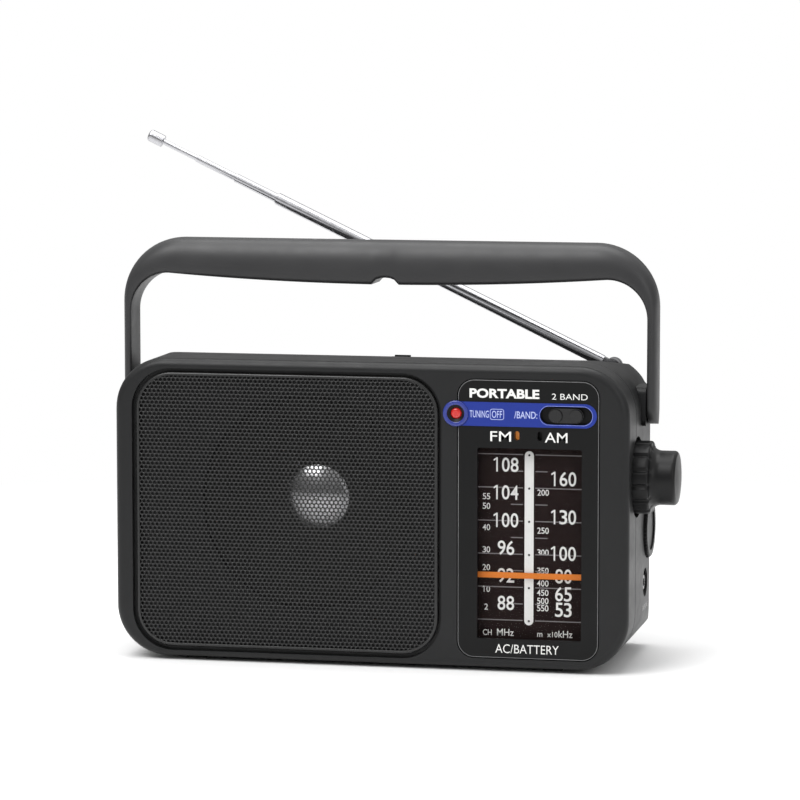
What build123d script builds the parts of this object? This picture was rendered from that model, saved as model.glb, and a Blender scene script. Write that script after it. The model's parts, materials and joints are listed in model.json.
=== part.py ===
from build123d import *
from math import asin, atan2, cos, hypot, pi, radians, sin
import os

# A portable two-band receiver with a carrying handle and a telescopic rod, in millimetres.
# Written in the cabinet's own coordinates: X from its middle to the right, Y as depth from
# the front face, Z up from the surface that the feet stand on.

# ---- cabinet ----
WIDTH = 223.0
DEPTH = 84.0
FOOT = 1.6
TOP = 130.5
CORNER = 22.0
HALF = WIDTH / 2
WALL = 2.4
FRONT_WALL = 5.0
RECESS = 3.0
SPLIT = 20.0
TONGUE = 1.4
FACE_ROUND = 3.5
BACK_ROUND = 3.0
SEAM = 0.4

# the rear shell slopes, steps down to a ledge for the rod and narrows to the back
SLOPE_START = 28.0
STEP = DEPTH - 26.0
STEP_TOP = TOP - 4.2
LEDGE_Y = DEPTH - 24.0
LEDGE_TOP = TOP - 10.0
TAPER_START = DEPTH - 24.0
TAPER = 4.0
ROD_CORNER = HALF + TOP - 19.8

# ---- front openings ----
PANEL_RIGHT = HALF - 12.3
PANEL_LEFT = PANEL_RIGHT - 61.0
GRILLE_LEFT = 7.6 - HALF
GRILLE_RIGHT = PANEL_LEFT - 6.6
GRILLE_LOW = 4.4
GRILLE_HIGH = TOP - 4.2
GRILLE_CORNER = 17.5
GRILLE_GAP = 1.6
GRILLE_SHEET = 0.8
GRILLE_FRONT = 0.4

PANEL_LOW = 5.7
PANEL_HIGH = TOP - 5.8
PANEL_CORNER = 7.5
PANEL_GAP = 0.3
PANEL_BACK_LEFT = PANEL_LEFT + 6.8
PANEL_BACK_RIGHT = PANEL_RIGHT - 0.6
PANEL_BACK_LOW = PANEL_LOW + 6.3
PANEL_BACK_HIGH = PANEL_HIGH - 11.2

# ---- dial ----
DIAL_LEFT = PANEL_LEFT + 8.8
DIAL_RIGHT = PANEL_RIGHT - 7.7
DIAL_LOW = PANEL_LOW + 8.6
DIAL_HIGH = PANEL_HIGH - 29.2
LENS_LIP = 1.4
LENS_DEPTH = 1.2
SCALE_SHEET = 1.0
SCALE_MARGIN = 1.5
POINTER_Z = 41.0
POINTER_TALL = 2.4
POINTER_Y = 3.6
POINTER_THICK = 0.8

# ---- accent strip, lamp and band switch ----
STRIP_Z = PANEL_HIGH - 14.9
STRIP_TALL = 10.3
STRIP_RIGHT = PANEL_RIGHT - 1.3
STRIP_DEEP = 1.0
STRIP_PROUD = 0.25
LAMP_X = PANEL_LEFT - 0.5
LAMP_RING = 5.6
LAMP_SHANK = 4.2
LAMP_LENS = 2.4
RING_PROUD = 0.8
SLOT_X = PANEL_RIGHT - 14.4
SLOT_LONG = 22.2
SLOT_TALL = 7.6
SLOT_FLOOR = 2.2
SLIDER_LONG = 14.8
SLIDER_TALL = 6.2
SLIDER_TRAVEL = 3.5
SLIDER_PROUD = 0.3
LOBE_TALL = 1.1
FM_MARK_X = DIAL_LEFT + 16.9
AM_MARK_X = FM_MARK_X + 9.8
MARK_Z = STRIP_Z - 8.9
MARK_WIDE = 2.1
MARK_TALL = 3.9
SHUTTER_Y = 3.5
SHUTTER_THICK = 0.8

# ---- loudspeaker ----
SPEAKER_X = (GRILLE_LEFT + GRILLE_RIGHT) / 2 + 8.95
SPEAKER_Z = (GRILLE_LOW + GRILLE_HIGH) / 2 + 4.45
SPEAKER_FLANGE = 51.0
CONE_MOUTH = 45.0
CONE_NECK = 13.5
CONE_DEEP = 18.0
BASKET_DEEP = 22.0
MAGNET = 30.0
MAGNET_DEEP = 12.0
DUST_CAP = 13.8
BAFFLE_HOLE = 46.0

# ---- tuning drive, all turning about X ----
KNOB_Y = 24.5
KNOB_Z = TOP - 48.85
KNOB_BIG = 15.55
KNOB_SMALL = 11.55
KNOB_INNER = HALF - 3.9
KNOB_SHOULDER = HALF + 6.5
KNOB_WAIST = HALF + 10.5
KNOB_END = HALF + 18.3
KNOB_GROOVES = 14
POCKET = 17.3
POCKET_FLOOR = HALF - 5.0
POCKET_WALL = 2.0
SHAFT = 3.0
SHAFT_FIT = 0.06
SHAFT_INNER = HALF - 21.5
BUSH = 4.0
SPINDLE = 3.2
DRIVE_X = HALF - 14.25
DRUM_Y = 46.0
DRUM_Z = KNOB_Z - 24.65
DRUM = 23.6
DRUM_AXLE = 3.0
IDLER = 3.0
IDLER_Y = 9.5
IDLER_LOW = 12.5
IDLER_HIGH = TOP - 29.5
FLANGE = 1.2
WHEEL_WIDE = 3.0
PIN = 1.2
PIN_FIT = 0.06
CORD = 0.35
CORD_GAP = 0.1
RAIL = 0.8
RAIL_X = HALF - 17.9
RAIL_Y = 9.2

# ---- volume wheel, earphone jack, mains inlet ----
VOLUME_Y = 56.0
VOLUME_Z = KNOB_Z - 25.65
VOLUME = 13.0
VOLUME_GAP = 0.5
VOLUME_INNER = HALF - 4.5
VOLUME_OUTER = HALF + 1.5
VOLUME_TEETH = 48
JACK_Y = 48.0
JACK_Z = 33.0
JACK_BORE = 1.8
JACK_BARREL = 6.2
JACK_DEEP = 13.0
JACK_FACE = HALF - 0.6
INLET_X = 23.5 - HALF
INLET_Z = 62.0

# ---- circuit board ----
BOARD_Y = 16.0
BOARD = 1.6
BOARD_LEFT = PANEL_LEFT + 1.3
BOARD_RIGHT = PANEL_RIGHT - 7.2
BOARD_LOW = 5.5
BOARD_HIGH = TOP - 10.5

# ---- battery bay for four R6 cells ----
CELL = 14.5
CELL_LONG = 50.5
BAY_X = -28.0
BAY_LOW = 8.0
BAY_LONG = 2 * CELL_LONG + 11.0
BAY_TALL = 2 * CELL + 2.5
BAY_DEEP = 17.5
BAY_WALL = 1.6
DOOR_THICK = 2.0
DOOR_GAP = 0.4
DOOR_LIP = 2.0

# ---- handle ----
PIVOT_Y = DEPTH / 2
PIVOT_Z = TOP - 20.0
ARM_INNER = HALF + 2.1
ARM_THICK = 4.2
ARM_WIDE = 16.0
GRIP_WIDE = 20.0
GRIP_TOP = TOP + 49.1
GRIP_UNDER = GRIP_TOP - 15.2
GRIP_BOW = 3.6
HANDLE_CORNER = 27.0
HANDLE_INSIDE = 17.0
NOTCH_WIDE = 11.4
NOTCH_DEEP = 3.0
HANDLE_PIN = 3.0
HANDLE_PIN_LONG = 3.0
HANDLE_PIN_FIT = 0.06
LUG_GAP = 0.3
LUG_ROOT = HALF - 5.5
PIN_ROOT = HALF - 4.5

# ---- telescopic rod ----
ROD_X = HALF - 17.5
ROD_Y = DEPTH - 17.0
ROD_Z = LEDGE_TOP + 3.7
ROD_TILT = 25.4
ROD_SIZES = [5.4, 4.65, 3.9, 3.15, 2.4]
ROD_WALL = 0.3
ROD_TUBE_START = 7.0
ROD_TUBE_END = 165.6
ROD_STEPS = [0.5, 20.3, 19.5, 17.2]
ROD_LENGTHS = [155.0, 154.0, 152.0, 146.0]
TIP_LONG = 7.0
SWIVEL = 5.2
SWIVEL_SEAT = 1.0
SWIVEL_DISC = 0.85
SWIVEL_LIFT = 0.05
SWIVEL_STEM = 3.0
SWIVEL_FIT = 0.06
KNUCKLE = 3.2
CHEEK = 2.4
CHEEK_GAP = 0.08
ROD_PIN = 1.3
SWIVEL_FLOOR = LEDGE_TOP - 9.5
CLIP_X = 0.0
CLIP_WIDE = 7.0
CLIP_TOP = LEDGE_TOP + 6.4
CLIP_GAP = 0.2

# ---- fasteners ----
SCREW = 1.25
SCREW_HEAD = 2.8
SCREW_CLEAR = 1.6
BOSS = 3.0
BOSS_TUBE = 4.3
BOSS_HOLE = 3.1
BOSS_END = 27.0
BOSS_FLOOR = 3.0
BOSS_INSET = 10.7
LEFT_BOSSES = [(BOSS_INSET - HALF, 20.0), (BOSS_INSET - HALF, TOP - 22.5)]
RIGHT_BOSSES = [(HALF - BOSS_INSET, 13.5), (HALF - BOSS_INSET, TOP - 25.5)]
RIGHT_BOSS_START = 15.0
WEBS = [6.6, 9.0]
WEB = 2.0
BOSSES = LEFT_BOSSES + RIGHT_BOSSES

# The row frame: the middle of the whole outline on the standing surface.
HANDLE_OUTER = ARM_INNER + ARM_THICK
ORIGIN_X = (KNOB_END - HANDLE_OUTER) / 2
ORIGIN_Y = (DEPTH - SLIDER_PROUD - LOBE_TALL) / 2
CORE = (-ORIGIN_X, -ORIGIN_Y, 0)
MID_Z = (FOOT + TOP) / 2
TALL = TOP - FOOT

os.makedirs("parts", exist_ok=True)


def front(depth):
    """The upright plane at a depth, seen from the front: local x is X, local y is Z."""
    return Plane(origin=CORE, x_dir=(1, 0, 0), z_dir=(0, -1, 0)).offset(-depth)


def side(across):
    """The upright plane at an X, seen from the right: local x is depth, local y is Z."""
    return Plane(origin=CORE, x_dir=(0, 1, 0), z_dir=(1, 0, 0)).offset(across)


def above(height):
    """The level plane at a height, seen from above: local x is X, local y is depth."""
    return Plane(origin=CORE, x_dir=(1, 0, 0), z_dir=(0, 0, 1)).offset(height)


def along_rod(distance):
    """The plane square to the rod, at a distance from its tilt pin."""
    start = (ROD_X - ORIGIN_X, ROD_Y - ORIGIN_Y, ROD_Z)
    way = (-cos(radians(ROD_TILT)), 0, sin(radians(ROD_TILT)))
    return Plane(origin=start, x_dir=(0, 1, 0), z_dir=way).offset(distance)


def dome_middle(reach, rise):
    """A point halfway round a dome's section: out from its axis, and below its crown."""
    radius = (reach**2 + rise**2) / (2 * rise)
    half = asin(reach / radius) / 2
    return radius * sin(half), radius * (1 - cos(half))


def middle(low, high):
    return (low + high) / 2


# ================= cabinet =================

GRILLE_X = middle(GRILLE_LEFT, GRILLE_RIGHT)
GRILLE_Z = middle(GRILLE_LOW, GRILLE_HIGH)
GRILLE_WIDE = GRILLE_RIGHT - GRILLE_LEFT
GRILLE_TALL = GRILLE_HIGH - GRILLE_LOW
PANEL_X = middle(PANEL_LEFT, PANEL_RIGHT)
PANEL_Z = middle(PANEL_LOW, PANEL_HIGH)
PANEL_WIDE = PANEL_RIGHT - PANEL_LEFT
PANEL_TALL = PANEL_HIGH - PANEL_LOW
BACK_X = middle(PANEL_BACK_LEFT, PANEL_BACK_RIGHT)
BACK_Z = middle(PANEL_BACK_LOW, PANEL_BACK_HIGH)
BACK_WIDE = PANEL_BACK_RIGHT - PANEL_BACK_LEFT
BACK_TALL = PANEL_BACK_HIGH - PANEL_BACK_LOW
DIAL_X = middle(DIAL_LEFT, DIAL_RIGHT)
DIAL_Z = middle(DIAL_LOW, DIAL_HIGH)
DIAL_WIDE = DIAL_RIGHT - DIAL_LEFT
DIAL_TALL = DIAL_HIGH - DIAL_LOW

FEET = [(-78.0, 12.0), (78.0, 12.0), (-78.0, DEPTH - 14.0), (78.0, DEPTH - 14.0)]
FOOT_WIDE = 9.0
FOOT_LONG = 6.0
FOOT_SET = 0.8
RAIL_BLOCK = 3.2
POST_RIGHT = PANEL_RIGHT - 12.2
POST_HIGH = TOP - 13.3
POSTS = [(PANEL_LEFT + 4.3, 7.6), (POST_RIGHT, 7.6), (PANEL_LEFT + 5.3, POST_HIGH), (POST_RIGHT, POST_HIGH)]
POST = 2.2
POST_SCREW = 1.1
FERRITE_Y = 47.0
FERRITE_Z = TOP - 20.5
FERRITE = 5.0
FERRITE_LONG = 100.0
FERRITE_X = -14.0
HOLDERS = [-40.0, 12.0]
HOLDER_WIDE = 4.0
HOLDER_TOP = TOP - 12.5

with BuildPart() as front_cabinet:
    with BuildSketch(front(SPLIT)):
        with Locations((0, MID_Z)):
            RectangleRounded(WIDTH, TALL, CORNER)
    extrude(amount=SPLIT)
    fillet(front_cabinet.faces().sort_by(Axis.Y)[0].edges(), radius=FACE_ROUND)
    chamfer(front_cabinet.faces().sort_by(Axis.Y)[-1].edges(), length=SEAM)
    with BuildSketch(front(SPLIT)):
        with Locations((0, MID_Z)):
            RectangleRounded(WIDTH - 2 * WALL, TALL - 2 * WALL, CORNER - WALL)
    extrude(amount=SPLIT - FRONT_WALL, mode=Mode.SUBTRACT)
    # tongue that the rear shell fits over
    with BuildSketch(front(SPLIT + TONGUE)):
        with Locations((0, MID_Z)):
            RectangleRounded(WIDTH - 1.1 * WALL, TALL - 1.1 * WALL, CORNER - 0.55 * WALL)
            RectangleRounded(WIDTH - 2 * WALL, TALL - 2 * WALL, CORNER - WALL, mode=Mode.SUBTRACT)
    extrude(amount=TONGUE + 1.0)
    # recesses for the grille and the dial panel, and what opens through them
    with BuildSketch(front(RECESS)):
        with Locations((GRILLE_X, GRILLE_Z)):
            RectangleRounded(GRILLE_WIDE, GRILLE_TALL, GRILLE_CORNER)
        with Locations((PANEL_X, PANEL_Z)):
            RectangleRounded(PANEL_WIDE, PANEL_TALL, PANEL_CORNER)
    extrude(amount=RECESS, mode=Mode.SUBTRACT)
    with BuildSketch(front(FRONT_WALL)):
        with Locations((SPEAKER_X, SPEAKER_Z)):
            Circle(BAFFLE_HOLE)
        with Locations((BACK_X, BACK_Z)):
            Rectangle(BACK_WIDE, BACK_TALL)
        with Locations((LAMP_X, STRIP_Z)):
            Circle(LAMP_SHANK + PANEL_GAP)
    extrude(amount=FRONT_WALL, mode=Mode.SUBTRACT)
    # bosses for the case screws, posts for the board and the loudspeaker
    with BuildSketch(front(BOSS_END)):
        with Locations(*LEFT_BOSSES):
            Circle(BOSS)
    extrude(amount=BOSS_END - FRONT_WALL)
    # on the right they stand off the side wall on webs, clear of the tuning drive
    with BuildSketch(front(BOSS_END)):
        with Locations(*RIGHT_BOSSES):
            Circle(BOSS)
    extrude(amount=BOSS_END - RIGHT_BOSS_START)
    with BuildSketch(front(SPLIT)):
        for (x, z), long in zip(RIGHT_BOSSES, WEBS):
            with Locations((x + long / 2, z)):
                Rectangle(long, WEB)
    extrude(amount=SPLIT - RIGHT_BOSS_START)
    with BuildSketch(front(BOARD_Y)):
        with Locations(*POSTS):
            Circle(POST)
    extrude(amount=BOARD_Y - FRONT_WALL)
    with BuildSketch(front(BOARD_Y)):
        with Locations(*POSTS):
            Circle(POST_SCREW)
    extrude(amount=6.0, mode=Mode.SUBTRACT)
    # blocks that hold the pointer rail
    with BuildSketch(front(RAIL_Y + RAIL_BLOCK / 2)):
        with Locations((RAIL_X, PANEL_BACK_LOW - RAIL_BLOCK / 2)):
            Rectangle(RAIL_BLOCK, RAIL_BLOCK)
        with Locations((RAIL_X, PANEL_BACK_HIGH + RAIL_BLOCK / 2)):
            Rectangle(RAIL_BLOCK, RAIL_BLOCK)
    extrude(amount=RAIL_Y + RAIL_BLOCK / 2 - FRONT_WALL)
    with BuildSketch(above(PANEL_BACK_LOW - RAIL_BLOCK)):
        with Locations((RAIL_X, RAIL_Y)):
            Circle(RAIL)
    extrude(amount=PANEL_BACK_HIGH - PANEL_BACK_LOW + 2 * RAIL_BLOCK, mode=Mode.SUBTRACT)
    # screw pilots
    with BuildSketch(front(BOSS_END)):
        with Locations(*BOSSES):
            Circle(SCREW)
    extrude(amount=12.0, mode=Mode.SUBTRACT)
    # round pocket for the tuning knob, with its floor; the tongue stops short of it
    with BuildSketch(side(POCKET_FLOOR - POCKET_WALL)):
        with Locations((KNOB_Y, KNOB_Z)):
            Circle(POCKET + POCKET_WALL + 0.2)
        with Locations((SPLIT - POCKET, KNOB_Z)):
            Rectangle(2 * POCKET, 4 * POCKET, mode=Mode.SUBTRACT)
    extrude(amount=HALF, mode=Mode.SUBTRACT)
    with BuildSketch(side(POCKET_FLOOR - POCKET_WALL)):
        with Locations((KNOB_Y, KNOB_Z)):
            Circle(POCKET + POCKET_WALL)
        with Locations((SPLIT + POCKET, KNOB_Z)):
            Rectangle(2 * POCKET, 4 * POCKET, mode=Mode.SUBTRACT)
    extrude(amount=HALF - 1.0 - POCKET_FLOOR + POCKET_WALL)
    with BuildSketch(side(POCKET_FLOOR)):
        with Locations((KNOB_Y, KNOB_Z)):
            Circle(POCKET)
    extrude(amount=HALF, mode=Mode.SUBTRACT)
    # seats for the feet
    with BuildSketch(above(FOOT)):
        with Locations(*FEET[:2]):
            Rectangle(FOOT_WIDE, FOOT_LONG)
    extrude(amount=FOOT_SET, mode=Mode.SUBTRACT)
front_cabinet.part.label = "front_cabinet"
export_step(front_cabinet.part, "parts/front_cabinet.step")


def rear_form(inset, start):
    """The rear shell's form, drawn in by a wall, from a depth to its back."""
    top = TOP - inset
    back = DEPTH - inset
    with BuildPart() as form:
        with BuildSketch(front(back)):
            with Locations((0, MID_Z)):
                RectangleRounded(WIDTH - 2 * inset, TALL - 2 * inset, CORNER - inset)
        extrude(amount=back - start)
        with BuildSketch(side(-HALF)):
            with BuildLine():
                Polyline(
                    (SLOPE_START, top + 1),
                    (SLOPE_START, top),
                    (STEP, STEP_TOP - inset),
                    (LEDGE_Y, LEDGE_TOP - inset),
                    (DEPTH + 1, LEDGE_TOP - inset - 1.0),
                    (DEPTH + 1, top + 1),
                    (SLOPE_START, top + 1),
                )
            make_face()
        extrude(amount=WIDTH, mode=Mode.SUBTRACT)
        with BuildSketch(above(FOOT)):
            for way in (-1, 1):
                with BuildLine():
                    Polyline(
                        (way * (HALF - inset), TAPER_START),
                        (way * (HALF - inset - TAPER), DEPTH + 0.01),
                        (way * (HALF + 1), DEPTH + 0.01),
                        (way * (HALF + 1), TAPER_START),
                        (way * (HALF - inset), TAPER_START),
                    )
                make_face()
        extrude(amount=TALL, mode=Mode.SUBTRACT)
        # the corner beside the rod's base is cut at 45 degrees
        cut = ROD_CORNER - 1.414 * inset
        with BuildSketch(front(DEPTH + 1)):
            with BuildLine():
                Polyline((cut - TOP - 1, TOP + 1), (HALF + 1, TOP + 1), (HALF + 1, cut - HALF - 1))
                Line((HALF + 1, cut - HALF - 1), (cut - TOP - 1, TOP + 1))
            make_face()
        extrude(amount=DEPTH + 1 - LEDGE_Y, mode=Mode.SUBTRACT)
    return form


rear_outer = rear_form(0, SPLIT)
rear_cavity = rear_form(WALL, SPLIT)

BAY_Z = BAY_LOW + BAY_TALL / 2
BACK_MIDDLE = DEPTH - WALL / 2
with BuildPart() as rear_cabinet:
    add(rear_outer.part)
    fillet(rear_cabinet.faces().sort_by(Axis.Y)[-1].edges(), radius=BACK_ROUND)
    chamfer(rear_cabinet.faces().sort_by(Axis.Y)[0].edges(), length=SEAM)
    add(rear_cavity.part, mode=Mode.SUBTRACT)
    # rebate for the front shell's tongue
    with BuildSketch(front(SPLIT + TONGUE + 0.1)):
        with Locations((0, MID_Z)):
            RectangleRounded(WIDTH - WALL, TALL - WALL, CORNER - WALL / 2)
    extrude(amount=TONGUE + 0.1, mode=Mode.SUBTRACT)
    # battery bay
    with BuildSketch(front(BACK_MIDDLE)):
        with Locations((BAY_X, BAY_Z)):
            Rectangle(BAY_LONG + 2 * BAY_WALL, BAY_TALL + 2 * BAY_WALL)
    extrude(amount=BACK_MIDDLE - DEPTH + BAY_DEEP + BAY_WALL + DOOR_THICK)
    with BuildSketch(front(DEPTH)):
        with Locations((BAY_X, BAY_Z)):
            Rectangle(BAY_LONG, BAY_TALL)
    extrude(amount=BAY_DEEP + DOOR_THICK, mode=Mode.SUBTRACT)
    with BuildSketch(front(DEPTH)):
        with Locations((BAY_X, BAY_Z)):
            Rectangle(BAY_LONG + 2 * DOOR_LIP, BAY_TALL + 2 * DOOR_LIP)
    extrude(amount=DOOR_THICK, mode=Mode.SUBTRACT)
    # tubes for the case screws
    with BuildSketch(front(BACK_MIDDLE)):
        with Locations(*BOSSES):
            Circle(BOSS_TUBE)
    extrude(amount=BACK_MIDDLE - BOSS_END)
    with BuildSketch(front(DEPTH)):
        with Locations(*BOSSES):
            Circle(BOSS_HOLE)
    extrude(amount=DEPTH - BOSS_END - BOSS_FLOOR, mode=Mode.SUBTRACT)
    with BuildSketch(front(BOSS_END + BOSS_FLOOR)):
        with Locations(*BOSSES):
            Circle(SCREW_CLEAR)
    extrude(amount=BOSS_FLOOR, mode=Mode.SUBTRACT)
    # lugs for the handle
    for way in (-1, 1):
        with BuildSketch(side(way * LUG_ROOT)):
            with Locations((PIVOT_Y, PIVOT_Z)):
                RectangleRounded(ARM_WIDE, 17.0, 3.0)
        extrude(amount=way * (ARM_INNER - LUG_GAP - LUG_ROOT))
        with BuildSketch(side(way * PIN_ROOT)):
            with Locations((PIVOT_Y, PIVOT_Z)):
                Circle(HANDLE_PIN)
        extrude(amount=way * HANDLE_PIN_LONG * 4, mode=Mode.SUBTRACT)
    # pocket for the tuning knob, with its floor, and the shaft's hole
    with BuildSketch(side(POCKET_FLOOR - POCKET_WALL)):
        with Locations((KNOB_Y, KNOB_Z)):
            Circle(POCKET + POCKET_WALL)
        with Locations((SPLIT - POCKET, KNOB_Z)):
            Rectangle(2 * POCKET, 4 * POCKET, mode=Mode.SUBTRACT)
    extrude(amount=HALF - 1.0 - POCKET_FLOOR + POCKET_WALL)
    with BuildSketch(side(POCKET_FLOOR)):
        with Locations((KNOB_Y, KNOB_Z)):
            Circle(POCKET)
    extrude(amount=HALF, mode=Mode.SUBTRACT)
    with BuildSketch(side(POCKET_FLOOR - POCKET_WALL)):
        with Locations((KNOB_Y, KNOB_Z)):
            Circle(BUSH)
    extrude(amount=POCKET_WALL, mode=Mode.SUBTRACT)
    # volume wheel's well and the jack's recess
    with BuildSketch(side(VOLUME_INNER - 0.5)):
        with Locations((VOLUME_Y, VOLUME_Z)):
            Circle(VOLUME + VOLUME_GAP)
    extrude(amount=HALF, mode=Mode.SUBTRACT)
    with BuildSketch(side(JACK_FACE - 3.0)):
        with Locations((JACK_Y, JACK_Z)):
            Circle(JACK_BARREL)
    extrude(amount=HALF, mode=Mode.SUBTRACT)
    # mains inlet's hole
    with BuildSketch(front(DEPTH)):
        with Locations((INLET_X, INLET_Z)):
            RectangleRounded(12.0, 7.5, 3.6)
    extrude(amount=WALL * 2, mode=Mode.SUBTRACT)
    # ribs over the aerial rod's holders
    for at in HOLDERS:
        with BuildSketch(above(HOLDER_TOP)):
            with Locations((at, FERRITE_Y)):
                Rectangle(HOLDER_WIDE, 2 * FERRITE)
        extrude(amount=STEP_TOP - HOLDER_TOP)
    # clip that the stowed rod lies in
    with BuildSketch(side(CLIP_X - CLIP_WIDE / 2)):
        with Locations((ROD_Y, middle(LEDGE_TOP - WALL, CLIP_TOP))):
            Rectangle(ROD_SIZES[0] + 3.4, CLIP_TOP - LEDGE_TOP + WALL)
        with Locations((ROD_Y, ROD_Z)):
            Circle(ROD_SIZES[0] / 2 + CLIP_GAP, mode=Mode.SUBTRACT)
        with Locations((ROD_Y, ROD_Z + 5)):
            Rectangle(ROD_SIZES[0] + 2 * CLIP_GAP, 10, mode=Mode.SUBTRACT)
    extrude(amount=CLIP_WIDE)
    # flat seat and hole for the rod's swivel
    with BuildSketch(above(SWIVEL_FLOOR)):
        with Locations((ROD_X, ROD_Y)):
            Circle(SWIVEL)
    extrude(amount=LEDGE_TOP - SWIVEL_SEAT - SWIVEL_FLOOR)
    with BuildSketch(above(LEDGE_TOP - SWIVEL_SEAT)):
        with Locations((ROD_X, ROD_Y)):
            Circle(SWIVEL + 0.4)
    extrude(amount=4.0, mode=Mode.SUBTRACT)
    with BuildSketch(above(SWIVEL_FLOOR)):
        with Locations((ROD_X, ROD_Y)):
            Circle(SWIVEL_STEM + SWIVEL_FIT)
    extrude(amount=LEDGE_TOP - SWIVEL_FLOOR, mode=Mode.SUBTRACT)
    # seats for the feet
    with BuildSketch(above(FOOT)):
        with Locations(*FEET[2:]):
            Rectangle(FOOT_WIDE, FOOT_LONG)
    extrude(amount=FOOT_SET, mode=Mode.SUBTRACT)
rear_cabinet.part.label = "rear_cabinet"
export_step(rear_cabinet.part, "parts/rear_cabinet.step")

with BuildPart() as rubber_feet:
    with BuildSketch(above(0)):
        with Locations(*FEET):
            Rectangle(FOOT_WIDE, FOOT_LONG)
    extrude(amount=FOOT + FOOT_SET)
    chamfer(rubber_feet.faces().group_by(Axis.Z)[0].edges(), length=0.4)
rubber_feet.part.label = "rubber_feet"
export_step(rubber_feet.part, "parts/rubber_feet.step")

with BuildPart() as case_screws:
    with BuildSketch(front(BOSS_END + BOSS_FLOOR + 2.2)):
        with Locations(*BOSSES):
            Circle(SCREW_HEAD)
    extrude(amount=2.2)
    with BuildSketch(front(BOSS_END + BOSS_FLOOR)):
        with Locations(*BOSSES):
            Circle(SCREW)
    extrude(amount=BOSS_FLOOR + 12.0)
case_screws.part.label = "case_screws"
export_step(case_screws.part, "parts/case_screws.step")

with BuildPart() as battery_door:
    with BuildSketch(front(DEPTH)):
        with Locations((BAY_X, BAY_Z)):
            Rectangle(BAY_LONG + 2 * (DOOR_LIP - DOOR_GAP), BAY_TALL + 2 * (DOOR_LIP - DOOR_GAP))
    extrude(amount=DOOR_THICK - 0.05)
    fillet(battery_door.edges().filter_by(Axis.Y), radius=1.0)
    # finger groove of the latch
    with BuildSketch(front(DEPTH)):
        with Locations((BAY_X, BAY_LOW + BAY_TALL - 2.0)):
            SlotOverall(16.0, 4.0)
    extrude(amount=0.8, mode=Mode.SUBTRACT)
battery_door.part.label = "battery_door"
export_step(battery_door.part, "parts/battery_door.step")

BAY_FLOOR = DEPTH - DOOR_THICK - BAY_DEEP
BAY_END = BAY_LONG / 2
CELL_ROWS = [BAY_LOW + BAY_TALL / 4, BAY_LOW + 3 * BAY_TALL / 4]
CELL_Y = BAY_FLOOR + BAY_DEEP / 2
SPRING_WIRE = 0.4
SPRING_BASE = BAY_X - BAY_END + 0.5
with BuildPart() as battery_contacts:
    for way in (-1, 1):
        with BuildSketch(side(BAY_X + way * (BAY_END - 0.25))):
            with Locations(*[(CELL_Y, row) for row in CELL_ROWS]):
                Rectangle(11.0, 10.0)
        extrude(amount=0.25, both=True)
    # coiled springs on the left-hand plates
    for row in CELL_ROWS:
        for turn in range(4):
            with BuildSketch(side(SPRING_BASE + 2 * SPRING_WIRE * turn)):
                with Locations((CELL_Y, row)):
                    Circle(4.6 - 0.6 * turn)
                    Circle(3.6 - 0.6 * turn, mode=Mode.SUBTRACT)
            extrude(amount=2 * SPRING_WIRE)
battery_contacts.part.label = "battery_contacts"
export_step(battery_contacts.part, "parts/battery_contacts.step")

# ================= loudspeaker and grille =================

PAN_CORNER = GRILLE_CORNER - GRILLE_GAP
with BuildPart() as speaker_grille:
    with BuildSketch(front(RECESS)):
        with Locations((GRILLE_X, GRILLE_Z)):
            RectangleRounded(GRILLE_WIDE - 2 * GRILLE_GAP, GRILLE_TALL - 2 * GRILLE_GAP, PAN_CORNER)
    extrude(amount=RECESS - GRILLE_FRONT)
    fillet(speaker_grille.faces().sort_by(Axis.Y)[0].edges(), radius=1.4)
    with BuildSketch(front(RECESS)):
        with Locations((GRILLE_X, GRILLE_Z)):
            RectangleRounded(
                GRILLE_WIDE - 2 * GRILLE_GAP - 2 * GRILLE_SHEET,
                GRILLE_TALL - 2 * GRILLE_GAP - 2 * GRILLE_SHEET,
                PAN_CORNER - GRILLE_SHEET,
            )
    extrude(amount=RECESS - GRILLE_FRONT - GRILLE_SHEET, mode=Mode.SUBTRACT)
speaker_grille.part.label = "speaker_grille"
export_step(speaker_grille.part, "parts/speaker_grille.step")

# the loudspeaker is drawn on its own axis: local x is radius, local y is depth
SPEAKER_AXIS = Plane(
    origin=(SPEAKER_X - ORIGIN_X, -ORIGIN_Y + FRONT_WALL, SPEAKER_Z),
    x_dir=(1, 0, 0),
    z_dir=(0, 0, 1),
)
SPEAKER_TURN = Axis((SPEAKER_X - ORIGIN_X, 0, SPEAKER_Z), (0, 1, 0))
SHEET = 0.8
with BuildPart() as speaker_basket:
    with BuildSketch(SPEAKER_AXIS):
        with BuildLine():
            Polyline(
                (CONE_MOUTH + 1.5, 0),
                (SPEAKER_FLANGE, 0),
                (SPEAKER_FLANGE, 2.0),
                (CONE_MOUTH + 3.0, 2.0),
                (MAGNET - 2.0, BASKET_DEEP),
                (CONE_NECK + 1.0, BASKET_DEEP),
                (CONE_NECK + 1.0, BASKET_DEEP - SHEET),
                (MAGNET - 3.0, BASKET_DEEP - SHEET),
                (CONE_MOUTH + 1.5, 1.2),
                (CONE_MOUTH + 1.5, 0),
            )
        make_face()
    revolve(axis=SPEAKER_TURN)
    # windows between the basket's four legs
    with BuildSketch(front(FRONT_WALL + BASKET_DEEP - 3.0)):
        with Locations((SPEAKER_X, SPEAKER_Z)):
            with PolarLocations(MAGNET + 6.5, 4, start_angle=45):
                RectangleRounded(12.0, 26.0, 4.0)
    extrude(amount=12.0, mode=Mode.SUBTRACT)
speaker_basket.part.label = "speaker_basket"
export_step(speaker_basket.part, "parts/speaker_basket.step")

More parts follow.
